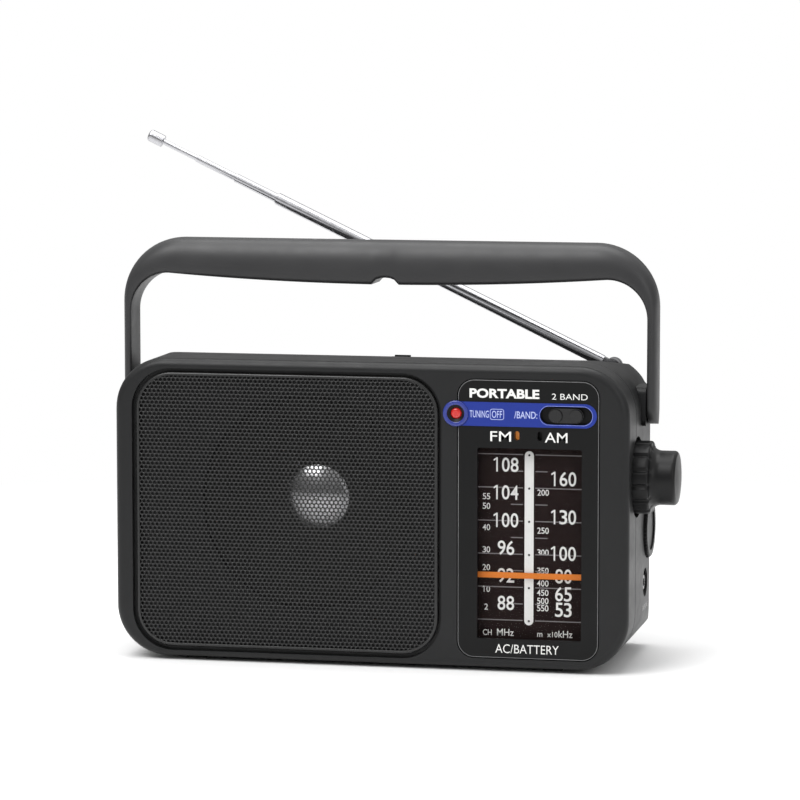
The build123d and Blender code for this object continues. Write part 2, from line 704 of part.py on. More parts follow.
with BuildPart() as speaker_cone:
    with BuildSketch(SPEAKER_AXIS):
        with BuildLine():
            Polyline((CONE_MOUTH + 1.5, 0), (CONE_MOUTH - 1.0, 0), (CONE_NECK - 1.5, CONE_DEEP))
            Polyline((CONE_NECK - 1.5, CONE_DEEP), (CONE_NECK - 0.5, CONE_DEEP), (CONE_MOUTH, 1.2))
            Polyline((CONE_MOUTH, 1.2), (CONE_MOUTH + 1.5, 1.2), (CONE_MOUTH + 1.5, 0))
        make_face()
    revolve(axis=SPEAKER_TURN)
speaker_cone.part.label = "speaker_cone"
export_step(speaker_cone.part, "parts/speaker_cone.step")

CAP_SEAT = CONE_DEEP * (CONE_MOUTH - 1.0 - DUST_CAP) / (CONE_MOUTH - CONE_NECK + 0.5)
CAP_RISE = 4.0
cap_reach, cap_drop = dome_middle(DUST_CAP, CAP_RISE)
cap_top = CAP_SEAT - CAP_RISE
with BuildPart() as dust_cap:
    with BuildSketch(SPEAKER_AXIS):
        with BuildLine():
            ThreePointArc((0, cap_top), (cap_reach, cap_top + cap_drop), (DUST_CAP, CAP_SEAT))
            Line((DUST_CAP, CAP_SEAT), (DUST_CAP - 1.3, CAP_SEAT + 0.6))
            Line((DUST_CAP - 1.3, CAP_SEAT + 0.6), (0, CAP_SEAT + 0.6))
            Line((0, CAP_SEAT + 0.6), (0, cap_top))
        make_face()
    revolve(axis=SPEAKER_TURN)
dust_cap.part.label = "dust_cap"
export_step(dust_cap.part, "parts/dust_cap.step")

with BuildPart() as speaker_magnet:
    with BuildSketch(front(FRONT_WALL + BASKET_DEEP + MAGNET_DEEP)):
        with Locations((SPEAKER_X, SPEAKER_Z)):
            Circle(MAGNET)
    extrude(amount=MAGNET_DEEP)
    chamfer(speaker_magnet.edges(), length=1.0)
speaker_magnet.part.label = "speaker_magnet"
export_step(speaker_magnet.part, "parts/speaker_magnet.step")

# ================= dial panel =================

PLATE_WIDE = PANEL_WIDE - 2 * PANEL_GAP
PLATE_TALL = PANEL_TALL - 2 * PANEL_GAP
STRIP_LEFT = LAMP_X - STRIP_TALL / 2
STRIP_X = middle(STRIP_LEFT, STRIP_RIGHT)
STRIP_WIDE = STRIP_RIGHT - STRIP_LEFT
PLATE_LEFT = PANEL_LEFT + PANEL_GAP
with BuildPart() as dial_panel:
    with BuildSketch(front(RECESS)):
        with Locations((PANEL_X, PANEL_Z)):
            RectangleRounded(PLATE_WIDE, PLATE_TALL, PANEL_CORNER - PANEL_GAP)
    extrude(amount=RECESS)
    chamfer(dial_panel.faces().sort_by(Axis.Y)[0].edges(), length=0.5)
    with BuildSketch(front(RECESS)):
        with Locations((DIAL_X, DIAL_Z)):
            RectangleRounded(DIAL_WIDE, DIAL_TALL, 0.8)
        with Locations((FM_MARK_X, MARK_Z), (AM_MARK_X, MARK_Z)):
            SlotOverall(MARK_TALL, MARK_WIDE, rotation=90)
        with Locations((SLOT_X, STRIP_Z)):
            Rectangle(5.0 + 2 * SLIDER_TRAVEL, 2.6)
        with Locations((LAMP_X, STRIP_Z)):
            Circle(LAMP_SHANK + 0.1)
    extrude(amount=RECESS, mode=Mode.SUBTRACT)
    with BuildSketch(front(RECESS)):
        with Locations((DIAL_X, DIAL_Z)):
            Rectangle(DIAL_WIDE + 2 * LENS_LIP, DIAL_TALL + 2 * LENS_LIP)
    extrude(amount=RECESS - LENS_DEPTH, mode=Mode.SUBTRACT)
    # inlay seat of the strip, and the slider's well
    with BuildSketch(front(STRIP_DEEP)):
        with Locations((STRIP_X, STRIP_Z)):
            SlotOverall(STRIP_WIDE, STRIP_TALL)
    extrude(amount=STRIP_DEEP, mode=Mode.SUBTRACT)
    with BuildSketch(front(SLOT_FLOOR)):
        with Locations((SLOT_X, STRIP_Z)):
            SlotOverall(SLOT_LONG, SLOT_TALL)
    extrude(amount=SLOT_FLOOR, mode=Mode.SUBTRACT)
dial_panel.part.label = "dial_panel"
export_step(dial_panel.part, "parts/dial_panel.step")

with BuildPart() as accent_strip:
    with BuildSketch(front(STRIP_DEEP)):
        with Locations((STRIP_X, STRIP_Z)):
            SlotOverall(STRIP_WIDE - 0.1, STRIP_TALL - 0.1)
        with Locations((PLATE_LEFT + 1.0 - STRIP_TALL, STRIP_Z)):
            Rectangle(2 * STRIP_TALL, 2 * STRIP_TALL, mode=Mode.SUBTRACT)
        with Locations((LAMP_X, STRIP_Z)):
            Circle(LAMP_SHANK + 0.1, mode=Mode.SUBTRACT)
        with Locations((SLOT_X, STRIP_Z)):
            SlotOverall(SLOT_LONG, SLOT_TALL, mode=Mode.SUBTRACT)
    extrude(amount=STRIP_DEEP)
    with BuildSketch(front(0)):
        with Locations((STRIP_X, STRIP_Z)):
            SlotOverall(STRIP_WIDE - 0.1, STRIP_TALL - 0.1)
        with Locations((LAMP_X, STRIP_Z)):
            Circle(LAMP_RING + 0.05, mode=Mode.SUBTRACT)
        with Locations((SLOT_X, STRIP_Z)):
            SlotOverall(SLOT_LONG, SLOT_TALL, mode=Mode.SUBTRACT)
        with Locations((LAMP_X - STRIP_TALL, STRIP_Z)):
            Rectangle(2 * STRIP_TALL, 2 * STRIP_TALL, mode=Mode.SUBTRACT)
    extrude(amount=STRIP_PROUD)
accent_strip.part.label = "accent_strip"
export_step(accent_strip.part, "parts/accent_strip.step")

with BuildPart() as lamp_ring:
    with BuildSketch(front(0)):
        with Locations((LAMP_X, STRIP_Z)):
            Circle(LAMP_RING)
    extrude(amount=RING_PROUD)
    chamfer(lamp_ring.faces().sort_by(Axis.Y)[0].edges(), length=0.5)
    with BuildSketch(front(FRONT_WALL)):
        with Locations((LAMP_X, STRIP_Z)):
            Circle(LAMP_SHANK)
    extrude(amount=FRONT_WALL)
    with BuildSketch(front(FRONT_WALL)):
        with Locations((LAMP_X, STRIP_Z)):
            Circle(LAMP_LENS)
    extrude(amount=FRONT_WALL + RING_PROUD, mode=Mode.SUBTRACT)
    # dished mouth round the lamp
    with BuildSketch(front(-RING_PROUD)):
        with Locations((LAMP_X, STRIP_Z)):
            Circle(LAMP_SHANK)
    extrude(amount=-1.6, taper=48, mode=Mode.SUBTRACT)
lamp_ring.part.label = "lamp_ring"
export_step(lamp_ring.part, "parts/lamp_ring.step")

with BuildPart() as tuning_lamp:
    with BuildSketch(front(FRONT_WALL + 2.5)):
        with Locations((LAMP_X, STRIP_Z)):
            Circle(LAMP_LENS)
    extrude(amount=FRONT_WALL + 2.5)
    fillet(tuning_lamp.faces().sort_by(Axis.Y)[0].edges(), radius=1.2)
    with BuildSketch(front(FRONT_WALL + 2.5)):
        with Locations((LAMP_X, STRIP_Z)):
            Circle(LAMP_LENS + 0.5)
    extrude(amount=1.0)
    # leads to the board
    with BuildSketch(front(BOARD_Y)):
        with Locations((LAMP_X + 1.9, STRIP_Z - 1.2), (LAMP_X + 1.9, STRIP_Z + 1.2)):
            Rectangle(0.6, 0.6)
    extrude(amount=BOARD_Y - FRONT_WALL - 2.5)
tuning_lamp.part.label = "tuning_lamp"
export_step(tuning_lamp.part, "parts/tuning_lamp.step")

with BuildPart() as dial_lens:
    with BuildSketch(front(RECESS)):
        with Locations((DIAL_X, DIAL_Z)):
            Rectangle(DIAL_WIDE + 2 * LENS_LIP - 0.1, DIAL_TALL + 2 * LENS_LIP - 0.1)
    extrude(amount=RECESS - LENS_DEPTH)
dial_lens.part.label = "dial_lens"
export_step(dial_lens.part, "parts/dial_lens.step")

SCALE_LEFT = DIAL_LEFT - 3.5
SCALE_RIGHT = DIAL_RIGHT + SCALE_MARGIN - 1.0
SCALE_LOW = PANEL_BACK_LOW - 2.0
SCALE_HIGH = DIAL_HIGH + 2.0
with BuildPart() as dial_scale:
    with BuildSketch(front(FRONT_WALL + SCALE_SHEET)):
        with Locations((middle(SCALE_LEFT, SCALE_RIGHT), middle(SCALE_LOW, SCALE_HIGH))):
            Rectangle(SCALE_RIGHT - SCALE_LEFT, SCALE_HIGH - SCALE_LOW)
    extrude(amount=SCALE_SHEET)
dial_scale.part.label = "dial_scale"
export_step(dial_scale.part, "parts/dial_scale.step")

CARRIAGE = 5.0
POINTER_LEFT = DIAL_LEFT - 0.8
POINTER_RIGHT = RAIL_X + 1.6
with BuildPart() as tuning_pointer:
    with BuildSketch(front(POINTER_Y + POINTER_THICK)):
        with Locations((middle(POINTER_LEFT, POINTER_RIGHT), POINTER_Z)):
            Rectangle(POINTER_RIGHT - POINTER_LEFT, POINTER_TALL)
    extrude(amount=POINTER_THICK)
    with BuildSketch(front(RAIL_Y + 1.6)):
        with Locations((RAIL_X, POINTER_Z)):
            Rectangle(2.6, POINTER_TALL)
    extrude(amount=RAIL_Y + 1.6 - POINTER_Y)
    with BuildSketch(front(RAIL_Y + 1.6)):
        with Locations((RAIL_X, POINTER_Z)):
            Rectangle(3.2, CARRIAGE)
    extrude(amount=3.2)
    # tab that grips the drive cord
    with BuildSketch(front(POINTER_Y + POINTER_THICK)):
        with Locations((middle(RAIL_X, DRIVE_X + 0.8), POINTER_Z)):
            Rectangle(DRIVE_X + 0.8 - RAIL_X, POINTER_TALL)
    extrude(amount=POINTER_THICK)
    with BuildSketch(above(POINTER_Z - CARRIAGE)):
        with Locations((RAIL_X, RAIL_Y)):
            Circle(RAIL + 0.06)
    extrude(amount=2 * CARRIAGE, mode=Mode.SUBTRACT)
tuning_pointer.part.label = "tuning_pointer"
export_step(tuning_pointer.part, "parts/tuning_pointer.step")

with BuildPart() as pointer_rail:
    with BuildSketch(above(PANEL_BACK_LOW - RAIL_BLOCK)):
        with Locations((RAIL_X, RAIL_Y)):
            Circle(RAIL)
    extrude(amount=PANEL_BACK_HIGH - PANEL_BACK_LOW + 2 * RAIL_BLOCK)
pointer_rail.part.label = "pointer_rail"
export_step(pointer_rail.part, "parts/pointer_rail.step")

# ================= band switch =================

SWITCH_Y = 8.5
SWITCH_LONG = 15.0
SWITCH_TALL = 6.8
with BuildPart() as band_slider:
    with BuildSketch(front(SLOT_FLOOR - 0.15)):
        with Locations((SLOT_X, STRIP_Z)):
            SlotOverall(SLIDER_LONG, SLIDER_TALL)
    extrude(amount=SLOT_FLOOR - 0.15 + SLIDER_PROUD)
    # two thumb lobes with a hollow between them
    with BuildSketch(front(-SLIDER_PROUD)):
        for way in (-1, 1):
            with Locations((SLOT_X + way * (SLIDER_LONG / 2 - SLIDER_TALL / 2), STRIP_Z)):
                Circle(SLIDER_TALL / 2 - 0.2)
    extrude(amount=LOBE_TALL, taper=12)
    # stem through the panel to the switch
    with BuildSketch(front(SWITCH_Y)):
        with Locations((SLOT_X, STRIP_Z)):
            Rectangle(4.0, 2.2)
    extrude(amount=SWITCH_Y - 1.0)
band_slider.part.label = "band_slider"
export_step(band_slider.part, "parts/band_slider.step")

SHUTTER_LEFT = FM_MARK_X - 5.2
SHUTTER_RIGHT = SLOT_X + 3.2
SHUTTER_LOW = MARK_Z - MARK_TALL / 2 - 0.4
with BuildPart() as band_shutter:
    with BuildSketch(front(SHUTTER_Y + SHUTTER_THICK)):
        with Locations((middle(SHUTTER_LEFT, AM_MARK_X + 1.5), MARK_Z)):
            Rectangle(AM_MARK_X + 1.5 - SHUTTER_LEFT, MARK_TALL + 0.8)
        with Locations((middle(AM_MARK_X, SHUTTER_RIGHT), middle(SHUTTER_LOW, STRIP_Z + 2.0))):
            Rectangle(SHUTTER_RIGHT - AM_MARK_X, STRIP_Z + 2.0 - SHUTTER_LOW)
        with Locations((SLOT_X, STRIP_Z)):
            Rectangle(4.0, 2.2, mode=Mode.SUBTRACT)
    extrude(amount=SHUTTER_THICK)
band_shutter.part.label = "band_shutter"
export_step(band_shutter.part, "parts/band_shutter.step")

# the amber flags sit on the shutter: one shows at FM, the other at AM
with BuildPart() as band_flags:
    with BuildSketch(front(SHUTTER_Y)):
        with Locations((FM_MARK_X, MARK_Z), (AM_MARK_X - SLIDER_TRAVEL, MARK_Z)):
            Rectangle(MARK_WIDE + 0.6, MARK_TALL + 0.6)
    extrude(amount=0.2)
band_flags.part.label = "band_flags"
export_step(band_flags.part, "parts/band_flags.step")

with BuildPart() as band_switch:
    with BuildSketch(front(BOARD_Y)):
        with Locations((SLOT_X, STRIP_Z)):
            Rectangle(SWITCH_LONG, SWITCH_TALL)
    extrude(amount=BOARD_Y - SHUTTER_Y - SHUTTER_THICK - 1.2)
    with BuildSketch(front(SWITCH_Y + 0.2)):
        with Locations((SLOT_X, STRIP_Z)):
            Rectangle(4.4 + 2 * SLIDER_TRAVEL, 2.6)
    extrude(amount=SWITCH_Y, mode=Mode.SUBTRACT)
band_switch.part.label = "band_switch"
export_step(band_switch.part, "parts/band_switch.step")

# ================= tuning drive =================

KNOB_TURN = Axis((0, KNOB_Y - ORIGIN_Y, KNOB_Z), (1, 0, 0))
KNOB_PLANE = Plane(
    origin=(-ORIGIN_X, KNOB_Y - ORIGIN_Y, KNOB_Z), x_dir=(1, 0, 0), z_dir=(0, -1, 0)
)
KNOB_SKIRT = 15.2
KNOB_GROOVE_LONG = 7.6
KNOB_CROWN = 0.9
KNOB_FACE = KNOB_SMALL - 1.8
crown_reach, crown_drop = dome_middle(KNOB_FACE, KNOB_CROWN)
with BuildPart() as tuning_knob:
    with BuildSketch(KNOB_PLANE):
        with BuildLine():
            Polyline(
                (KNOB_INNER, 0),
                (KNOB_INNER, KNOB_SKIRT),
                (KNOB_INNER + 0.6, KNOB_BIG),
                (KNOB_SHOULDER - 1.0, KNOB_BIG),
                (KNOB_SHOULDER, KNOB_BIG - 0.9),
            )
            # concave flare down to the waist
            ThreePointArc(
                (KNOB_SHOULDER, KNOB_BIG - 0.9),
                (KNOB_SHOULDER + 1.5, KNOB_SMALL + 0.9),
                (KNOB_WAIST, KNOB_SMALL),
            )
            Line((KNOB_WAIST, KNOB_SMALL), (KNOB_END - 2.6, KNOB_SMALL))
            ThreePointArc(
                (KNOB_END - 2.6, KNOB_SMALL),
                (KNOB_END - 1.5, KNOB_SMALL - 0.6),
                (KNOB_END - KNOB_CROWN, KNOB_FACE),
            )
            ThreePointArc(
                (KNOB_END - KNOB_CROWN, KNOB_FACE),
                (KNOB_END - crown_drop, crown_reach),
                (KNOB_END, 0),
            )
            Line((KNOB_END, 0), (KNOB_INNER, 0))
        make_face()
    revolve(axis=KNOB_TURN)
    # grip grooves round the big barrel
    with BuildSketch(side(KNOB_SHOULDER - 1.6 - KNOB_GROOVE_LONG)):
        with Locations((KNOB_Y, KNOB_Z)):
            with PolarLocations(KNOB_BIG, KNOB_GROOVES, start_angle=8):
                Circle(0.75)
    extrude(amount=KNOB_GROOVE_LONG, mode=Mode.SUBTRACT)
    # bore for the shaft
    with BuildSketch(side(KNOB_INNER)):
        with Locations((KNOB_Y, KNOB_Z)):
            Circle(SHAFT)
    extrude(amount=12.0, mode=Mode.SUBTRACT)
tuning_knob.part.label = "tuning_knob"
export_step(tuning_knob.part, "parts/tuning_knob.step")

BUSH_FRONT = POCKET_FLOOR + 0.8
BUSH_BACK = HALF - 10.0
GROOVE_HALF = 0.7
with BuildPart() as tuning_shaft:
    with BuildSketch(side(SHAFT_INNER)):
        with Locations((KNOB_Y, KNOB_Z)):
            Circle(SHAFT)
    extrude(amount=KNOB_INNER + 12.0 - SHAFT_INNER)
    # spindle that the cord is wound on, between two flanges
    with BuildSketch(side(DRIVE_X - GROOVE_HALF)):
        with Locations((KNOB_Y, KNOB_Z)):
            Circle(SPINDLE)
    extrude(amount=2 * GROOVE_HALF)
    for start in (DRIVE_X - GROOVE_HALF - 0.8, DRIVE_X + GROOVE_HALF):
        with BuildSketch(side(start)):
            with Locations((KNOB_Y, KNOB_Z)):
                Circle(SPINDLE + FLANGE)
        extrude(amount=0.8)
tuning_shaft.part.label = "tuning_shaft"
export_step(tuning_shaft.part, "parts/tuning_shaft.step")

with BuildPart() as shaft_bush:
    with BuildSketch(side(BUSH_BACK)):
        with Locations((KNOB_Y, KNOB_Z)):
            Circle(BUSH)
    extrude(amount=BUSH_FRONT - BUSH_BACK)
    with BuildSketch(side(BUSH_BACK)):
        with Locations((KNOB_Y, KNOB_Z)):
            Circle(BUSH + 1.8)
    extrude(amount=POCKET_FLOOR - POCKET_WALL - BUSH_BACK)
    with BuildSketch(side(BUSH_BACK)):
        with Locations((KNOB_Y, KNOB_Z)):
            Circle(SHAFT + SHAFT_FIT)
    extrude(amount=BUSH_FRONT - BUSH_BACK, mode=Mode.SUBTRACT)
shaft_bush.part.label = "shaft_bush"
export_step(shaft_bush.part, "parts/shaft_bush.step")


def grooved_wheel(centre, groove, bore):
    """A cord wheel on an X axle: a groove floor between two flanges, bored through."""
    with BuildPart() as wheel:
        with BuildSketch(side(DRIVE_X - GROOVE_HALF - 0.8)):
            with Locations(centre):
                Circle(groove + FLANGE)
        extrude(amount=2 * GROOVE_HALF + 1.6)
        with BuildSketch(side(DRIVE_X - GROOVE_HALF)):
            with Locations(centre):
                Circle(groove + 2 * FLANGE)
                Circle(groove, mode=Mode.SUBTRACT)
        extrude(amount=2 * GROOVE_HALF, mode=Mode.SUBTRACT)
        with BuildSketch(side(DRIVE_X - WHEEL_WIDE)):
            with Locations(centre):
                Circle(bore)
        extrude(amount=2 * WHEEL_WIDE, mode=Mode.SUBTRACT)
    return wheel


drum_blank = grooved_wheel((DRUM_Y, DRUM_Z), DRUM, DRUM_AXLE)
with BuildPart() as tuning_drum:
    add(drum_blank.part)
    # three lightening windows
    with BuildSketch(side(DRIVE_X - WHEEL_WIDE)):
        with Locations((DRUM_Y, DRUM_Z)):
            with PolarLocations(13.0, 3):
                Circle(7.0)
    extrude(amount=2 * WHEEL_WIDE, mode=Mode.SUBTRACT)
tuning_drum.part.label = "tuning_drum"
export_step(tuning_drum.part, "parts/tuning_drum.step")

CAP_RIGHT = DRIVE_X - 7.25
CAP_BODY = 20.0
CAP_LEFT = CAP_RIGHT - 13.0
with BuildPart() as drum_axle:
    with BuildSketch(side(CAP_LEFT + 3.0)):
        with Locations((DRUM_Y, DRUM_Z)):
            Circle(DRUM_AXLE)
    extrude(amount=DRIVE_X + WHEEL_WIDE - 0.5 - CAP_LEFT - 3.0)
drum_axle.part.label = "drum_axle"
export_step(drum_axle.part, "parts/drum_axle.step")

with BuildPart() as tuning_capacitor:
    with BuildSketch(side(CAP_LEFT)):
        with Locations((DRUM_Y, DRUM_Z)):
            RectangleRounded(CAP_BODY, CAP_BODY, 1.0)
    extrude(amount=CAP_RIGHT - CAP_LEFT)
    with BuildSketch(side(CAP_LEFT + 3.0)):
        with Locations((DRUM_Y, DRUM_Z)):
            Circle(DRUM_AXLE + SHAFT_FIT)
    extrude(amount=CAP_RIGHT - CAP_LEFT, mode=Mode.SUBTRACT)
tuning_capacitor.part.label = "tuning_capacitor"
export_step(tuning_capacitor.part, "parts/tuning_capacitor.step")

BRACKET_TOP = KNOB_Y + 6.0
with BuildPart() as drive_brackets:
    with BuildSketch(side(CAP_LEFT + 1.0)):
        with Locations((middle(BOARD_Y + BOARD, DRUM_Y - CAP_BODY / 2), DRUM_Z)):
            Rectangle(DRUM_Y - CAP_BODY / 2 - BOARD_Y - BOARD, CAP_BODY)
    extrude(amount=CAP_RIGHT - CAP_LEFT - 2.0)
    with BuildSketch(above(DRUM_Z - CAP_BODY)):
        with Locations((middle(CAP_LEFT, CAP_RIGHT), middle(BOARD_Y + BOARD, DRUM_Y - CAP_BODY / 2))):
            Rectangle(CAP_RIGHT - CAP_LEFT - 4.0, DRUM_Y - CAP_BODY / 2 - BOARD_Y - BOARD - 2.0)
    extrude(amount=2 * CAP_BODY, mode=Mode.SUBTRACT)
    # upright plate on the board that carries the tuning shaft's inner end
    with BuildSketch(side(SHAFT_INNER - 0.5)):
        with Locations((middle(BOARD_Y + BOARD, BRACKET_TOP), KNOB_Z)):
            Rectangle(BRACKET_TOP - BOARD_Y - BOARD, 14.0)
        with Locations((KNOB_Y, KNOB_Z)):
            Circle(SHAFT + SHAFT_FIT, mode=Mode.SUBTRACT)
    extrude(amount=1.5)
drive_brackets.part.label = "drive_brackets"
export_step(drive_brackets.part, "parts/drive_brackets.step")

IDLERS = {"upper": IDLER_HIGH, "lower": IDLER_LOW}
PIN_END = HALF - WALL - 5.7
for name, height in IDLERS.items():
    idler = grooved_wheel((IDLER_Y, height), IDLER, PIN + PIN_FIT)
    idler.part.label = f"{name}_idler"
    export_step(idler.part, f"parts/{name}_idler.step")

with BuildPart() as idler_pins:
    with BuildSketch(side(DRIVE_X - WHEEL_WIDE / 2 - 0.4)):
        with Locations(*[(IDLER_Y, height) for height in IDLERS.values()]):
            Circle(PIN)
    extrude(amount=PIN_END - DRIVE_X + WHEEL_WIDE / 2 + 0.4)
    # bracket blocks on the front wall
    with BuildSketch(side(DRIVE_X + WHEEL_WIDE / 2 + 0.4)):
        for height in IDLERS.values():
            with Locations((middle(FRONT_WALL, IDLER_Y + 2.5), height)):
                Rectangle(IDLER_Y + 2.5 - FRONT_WALL, 5.0)
    extrude(amount=PIN_END - DRIVE_X - WHEEL_WIDE / 2 - 0.4)
idler_pins.part.label = "idler_pins"
export_step(idler_pins.part, "parts/idler_pins.step")

# the cord's route: (centre, path radius, side of the loop that the wheel is on)
GROOVE_LIFT = CORD + CORD_GAP
ROUTE = [
    ((IDLER_Y, IDLER_LOW), IDLER + GROOVE_LIFT, 1),
    ((IDLER_Y, IDLER_HIGH), IDLER + GROOVE_LIFT, 1),
    ((KNOB_Y, KNOB_Z), SPINDLE + GROOVE_LIFT, -1),
    ((DRUM_Y, DRUM_Z), DRUM + GROOVE_LIFT, 1),
]


def tangent(one, two):
    """Where a line touches two wheels, each on its own side of the cord."""
    (y1, z1), r1, way1 = one
    (y2, z2), r2, way2 = two
    reach = hypot(y2 - y1, z2 - z1)
    heading = atan2(z2 - z1, y2 - y1)
    lean = heading + pi / 2 + asin((way2 * r2 - way1 * r1) / reach)
    out = (cos(lean), sin(lean))
    start = (y1 + way1 * r1 * out[0], z1 + way1 * r1 * out[1])
    end = (y2 + way2 * r2 * out[0], z2 + way2 * r2 * out[1])
    return start, end


def arc_middle(wheel, start, end):
    """The middle of a cord's wrap: clockwise round a wheel inside the loop, or the other way."""
    (y, z), r, way = wheel
    a = atan2(start[1] - z, start[0] - y)
    b = atan2(end[1] - z, end[0] - y)
    turn = (a - b) % (2 * pi) if way > 0 else (b - a) % (2 * pi)
    m = a - way * turn / 2
    return (y + r * cos(m), z + r * sin(m))


runs = [tangent(ROUTE[i], ROUTE[(i + 1) % len(ROUTE)]) for i in range(len(ROUTE))]
with BuildPart() as dial_cord:
    with BuildLine(side(DRIVE_X)) as loop:
        for i, (start, end) in enumerate(runs):
            following = (i + 1) % len(runs)
            away = runs[following][0]
            Line(start, end)
            ThreePointArc(end, arc_middle(ROUTE[following], end, away), away)
    first = runs[0][0]
    with BuildSketch(above(first[1])):
        with Locations((DRIVE_X, first[0])):
            Circle(CORD)
    sweep(path=loop.wires()[0])
dial_cord.part.label = "dial_cord"
export_step(dial_cord.part, "parts/dial_cord.step")

# ================= volume wheel, jack, mains inlet and transformer =================

BRACKET = 1.5
BRACKET_X = HALF - 11.6
BRACKET_TALL = 32.0
POT = 14.0
POT_DEEP = 4.8
WHEEL_SHAFT = 3.0
SIDE_INNER = HALF - WALL
with BuildPart() as volume_bracket:
    with BuildSketch(side(BRACKET_X)):
        with Locations((VOLUME_Y - 3.0, VOLUME_Z)):
            Rectangle(12.0, BRACKET_TALL)
    extrude(amount=SIDE_INNER - BRACKET_X)
    with BuildSketch(side(BRACKET_X + BRACKET)):
        with Locations((VOLUME_Y, VOLUME_Z)):
            Rectangle(40.0, BRACKET_TALL - 2 * BRACKET)
    extrude(amount=SIDE_INNER, mode=Mode.SUBTRACT)
volume_bracket.part.label = "volume_bracket"
export_step(volume_bracket.part, "parts/volume_bracket.step")

with BuildPart() as volume_pot:
    with BuildSketch(side(BRACKET_X + BRACKET)):
        with Locations((VOLUME_Y, VOLUME_Z)):
            RectangleRounded(POT, POT, 2.0)
        with Locations((VOLUME_Y, VOLUME_Z)):
            Circle(WHEEL_SHAFT + SHAFT_FIT, mode=Mode.SUBTRACT)
    extrude(amount=POT_DEEP)
volume_pot.part.label = "volume_pot"
export_step(volume_pot.part, "parts/volume_pot.step")

with BuildPart() as volume_wheel:
    with BuildSketch(side(VOLUME_INNER)):
        with Locations((VOLUME_Y, VOLUME_Z)):
            Circle(VOLUME)
    extrude(amount=VOLUME_OUTER - VOLUME_INNER)
    chamfer(volume_wheel.faces().sort_by(Axis.X)[-1].edges(), length=0.6)
    # coarse knurl
    with BuildSketch(side(VOLUME_INNER)):
        with Locations((VOLUME_Y, VOLUME_Z)):
            with PolarLocations(VOLUME + 0.25, VOLUME_TEETH):
                Circle(0.55)
    extrude(amount=VOLUME_OUTER - VOLUME_INNER, mode=Mode.SUBTRACT)
    # shallow dish and the stub shaft in the control
    with BuildSketch(side(VOLUME_OUTER)):
        with Locations((VOLUME_Y, VOLUME_Z)):
            Circle(VOLUME - 3.0)
    extrude(amount=-0.7, mode=Mode.SUBTRACT)
    with BuildSketch(side(BRACKET_X + BRACKET + 0.5)):
        with Locations((VOLUME_Y, VOLUME_Z)):
            Circle(WHEEL_SHAFT)
    extrude(amount=VOLUME_INNER + 1.0 - BRACKET_X - BRACKET)
volume_wheel.part.label = "volume_wheel"
export_step(volume_wheel.part, "parts/volume_wheel.step")

JACK_BODY = 13.4
with BuildPart() as earphone_jack:
    with BuildSketch(side(JACK_FACE - JACK_DEEP + 1.6)):
        with Locations((JACK_Y, JACK_Z)):
            Rectangle(JACK_BODY, JACK_BODY)
    extrude(amount=SIDE_INNER - JACK_FACE + JACK_DEEP - 1.6)
    with BuildSketch(side(SIDE_INNER - 1.0)):
        with Locations((JACK_Y, JACK_Z)):
            Circle(JACK_BARREL - 0.1)
    extrude(amount=JACK_FACE - SIDE_INNER + 1.0)
    with BuildSketch(side(JACK_FACE)):
        with Locations((JACK_Y, JACK_Z)):
            Circle(JACK_BARREL - 1.2)
            Circle(JACK_BORE + 1.3, mode=Mode.SUBTRACT)
    extrude(amount=-0.9, mode=Mode.SUBTRACT)
    with BuildSketch(side(JACK_FACE)):
        with Locations((JACK_Y, JACK_Z)):
            Circle(JACK_BORE)
    extrude(amount=-10.0, mode=Mode.SUBTRACT)
earphone_jack.part.label = "earphone_jack"
export_step(earphone_jack.part, "parts/earphone_jack.step")

INLET_FACE = DEPTH - 0.8
BACK_INNER = DEPTH - WALL
with BuildPart() as mains_inlet:
    with BuildSketch(front(BACK_INNER)):
        with Locations((INLET_X, INLET_Z)):
            Rectangle(17.0, 12.0)
    extrude(amount=14.0)
    with BuildSketch(front(INLET_FACE)):
        with Locations((INLET_X, INLET_Z)):
            RectangleRounded(11.8, 7.3, 3.5)
    extrude(amount=INLET_FACE - BACK_INNER)
    with BuildSketch(front(INLET_FACE)):
        with Locations((INLET_X - 2.1, INLET_Z), (INLET_X + 2.1, INLET_Z)):
            Circle(2.5)
        with Locations((INLET_X, INLET_Z)):
            Rectangle(4.2, 3.6)
    extrude(amount=10.0, mode=Mode.SUBTRACT)
mains_inlet.part.label = "mains_inlet"
export_step(mains_inlet.part, "parts/mains_inlet.step")

with BuildPart() as inlet_pins:
    with BuildSketch(front(INLET_FACE - 2.0)):
        with Locations((INLET_X - 2.1, INLET_Z), (INLET_X + 2.1, INLET_Z)):
            Circle(0.8)
    extrude(amount=8.0)
inlet_pins.part.label = "inlet_pins"
export_step(inlet_pins.part, "parts/inlet_pins.step")

CORE_X = 58.0
CORE_Z = 25.0
CORE_WIDE = 28.0
CORE_TALL = 32.0
CORE_DEEP = 20.0
with BuildPart() as power_transformer:
    with BuildSketch(front(BACK_INNER)):
        with Locations((CORE_X, CORE_Z)):
            Rectangle(CORE_WIDE, CORE_TALL)
        with Locations((CORE_X, CORE_Z - 7.0), (CORE_X, CORE_Z + 7.0)):
            Rectangle(CORE_WIDE - 10.0, 6.0, mode=Mode.SUBTRACT)
    extrude(amount=CORE_DEEP)
    # the winding in the core's two windows
    with BuildSketch(above(CORE_Z - 4.0)):
        with Locations((CORE_X, BACK_INNER - CORE_DEEP - 3.0)):
            Rectangle(CORE_WIDE - 10.4, 6.0)
    extrude(amount=8.0)
    with BuildSketch(front(BACK_INNER)):
        with Locations((CORE_X, CORE_Z - 7.0), (CORE_X, CORE_Z + 7.0)):
            Rectangle(CORE_WIDE - 10.4, 5.8)
    extrude(amount=CORE_DEEP + 6.0)
power_transformer.part.label = "power_transformer"
export_step(power_transformer.part, "parts/power_transformer.step")

# ================= circuit board and aerial =================

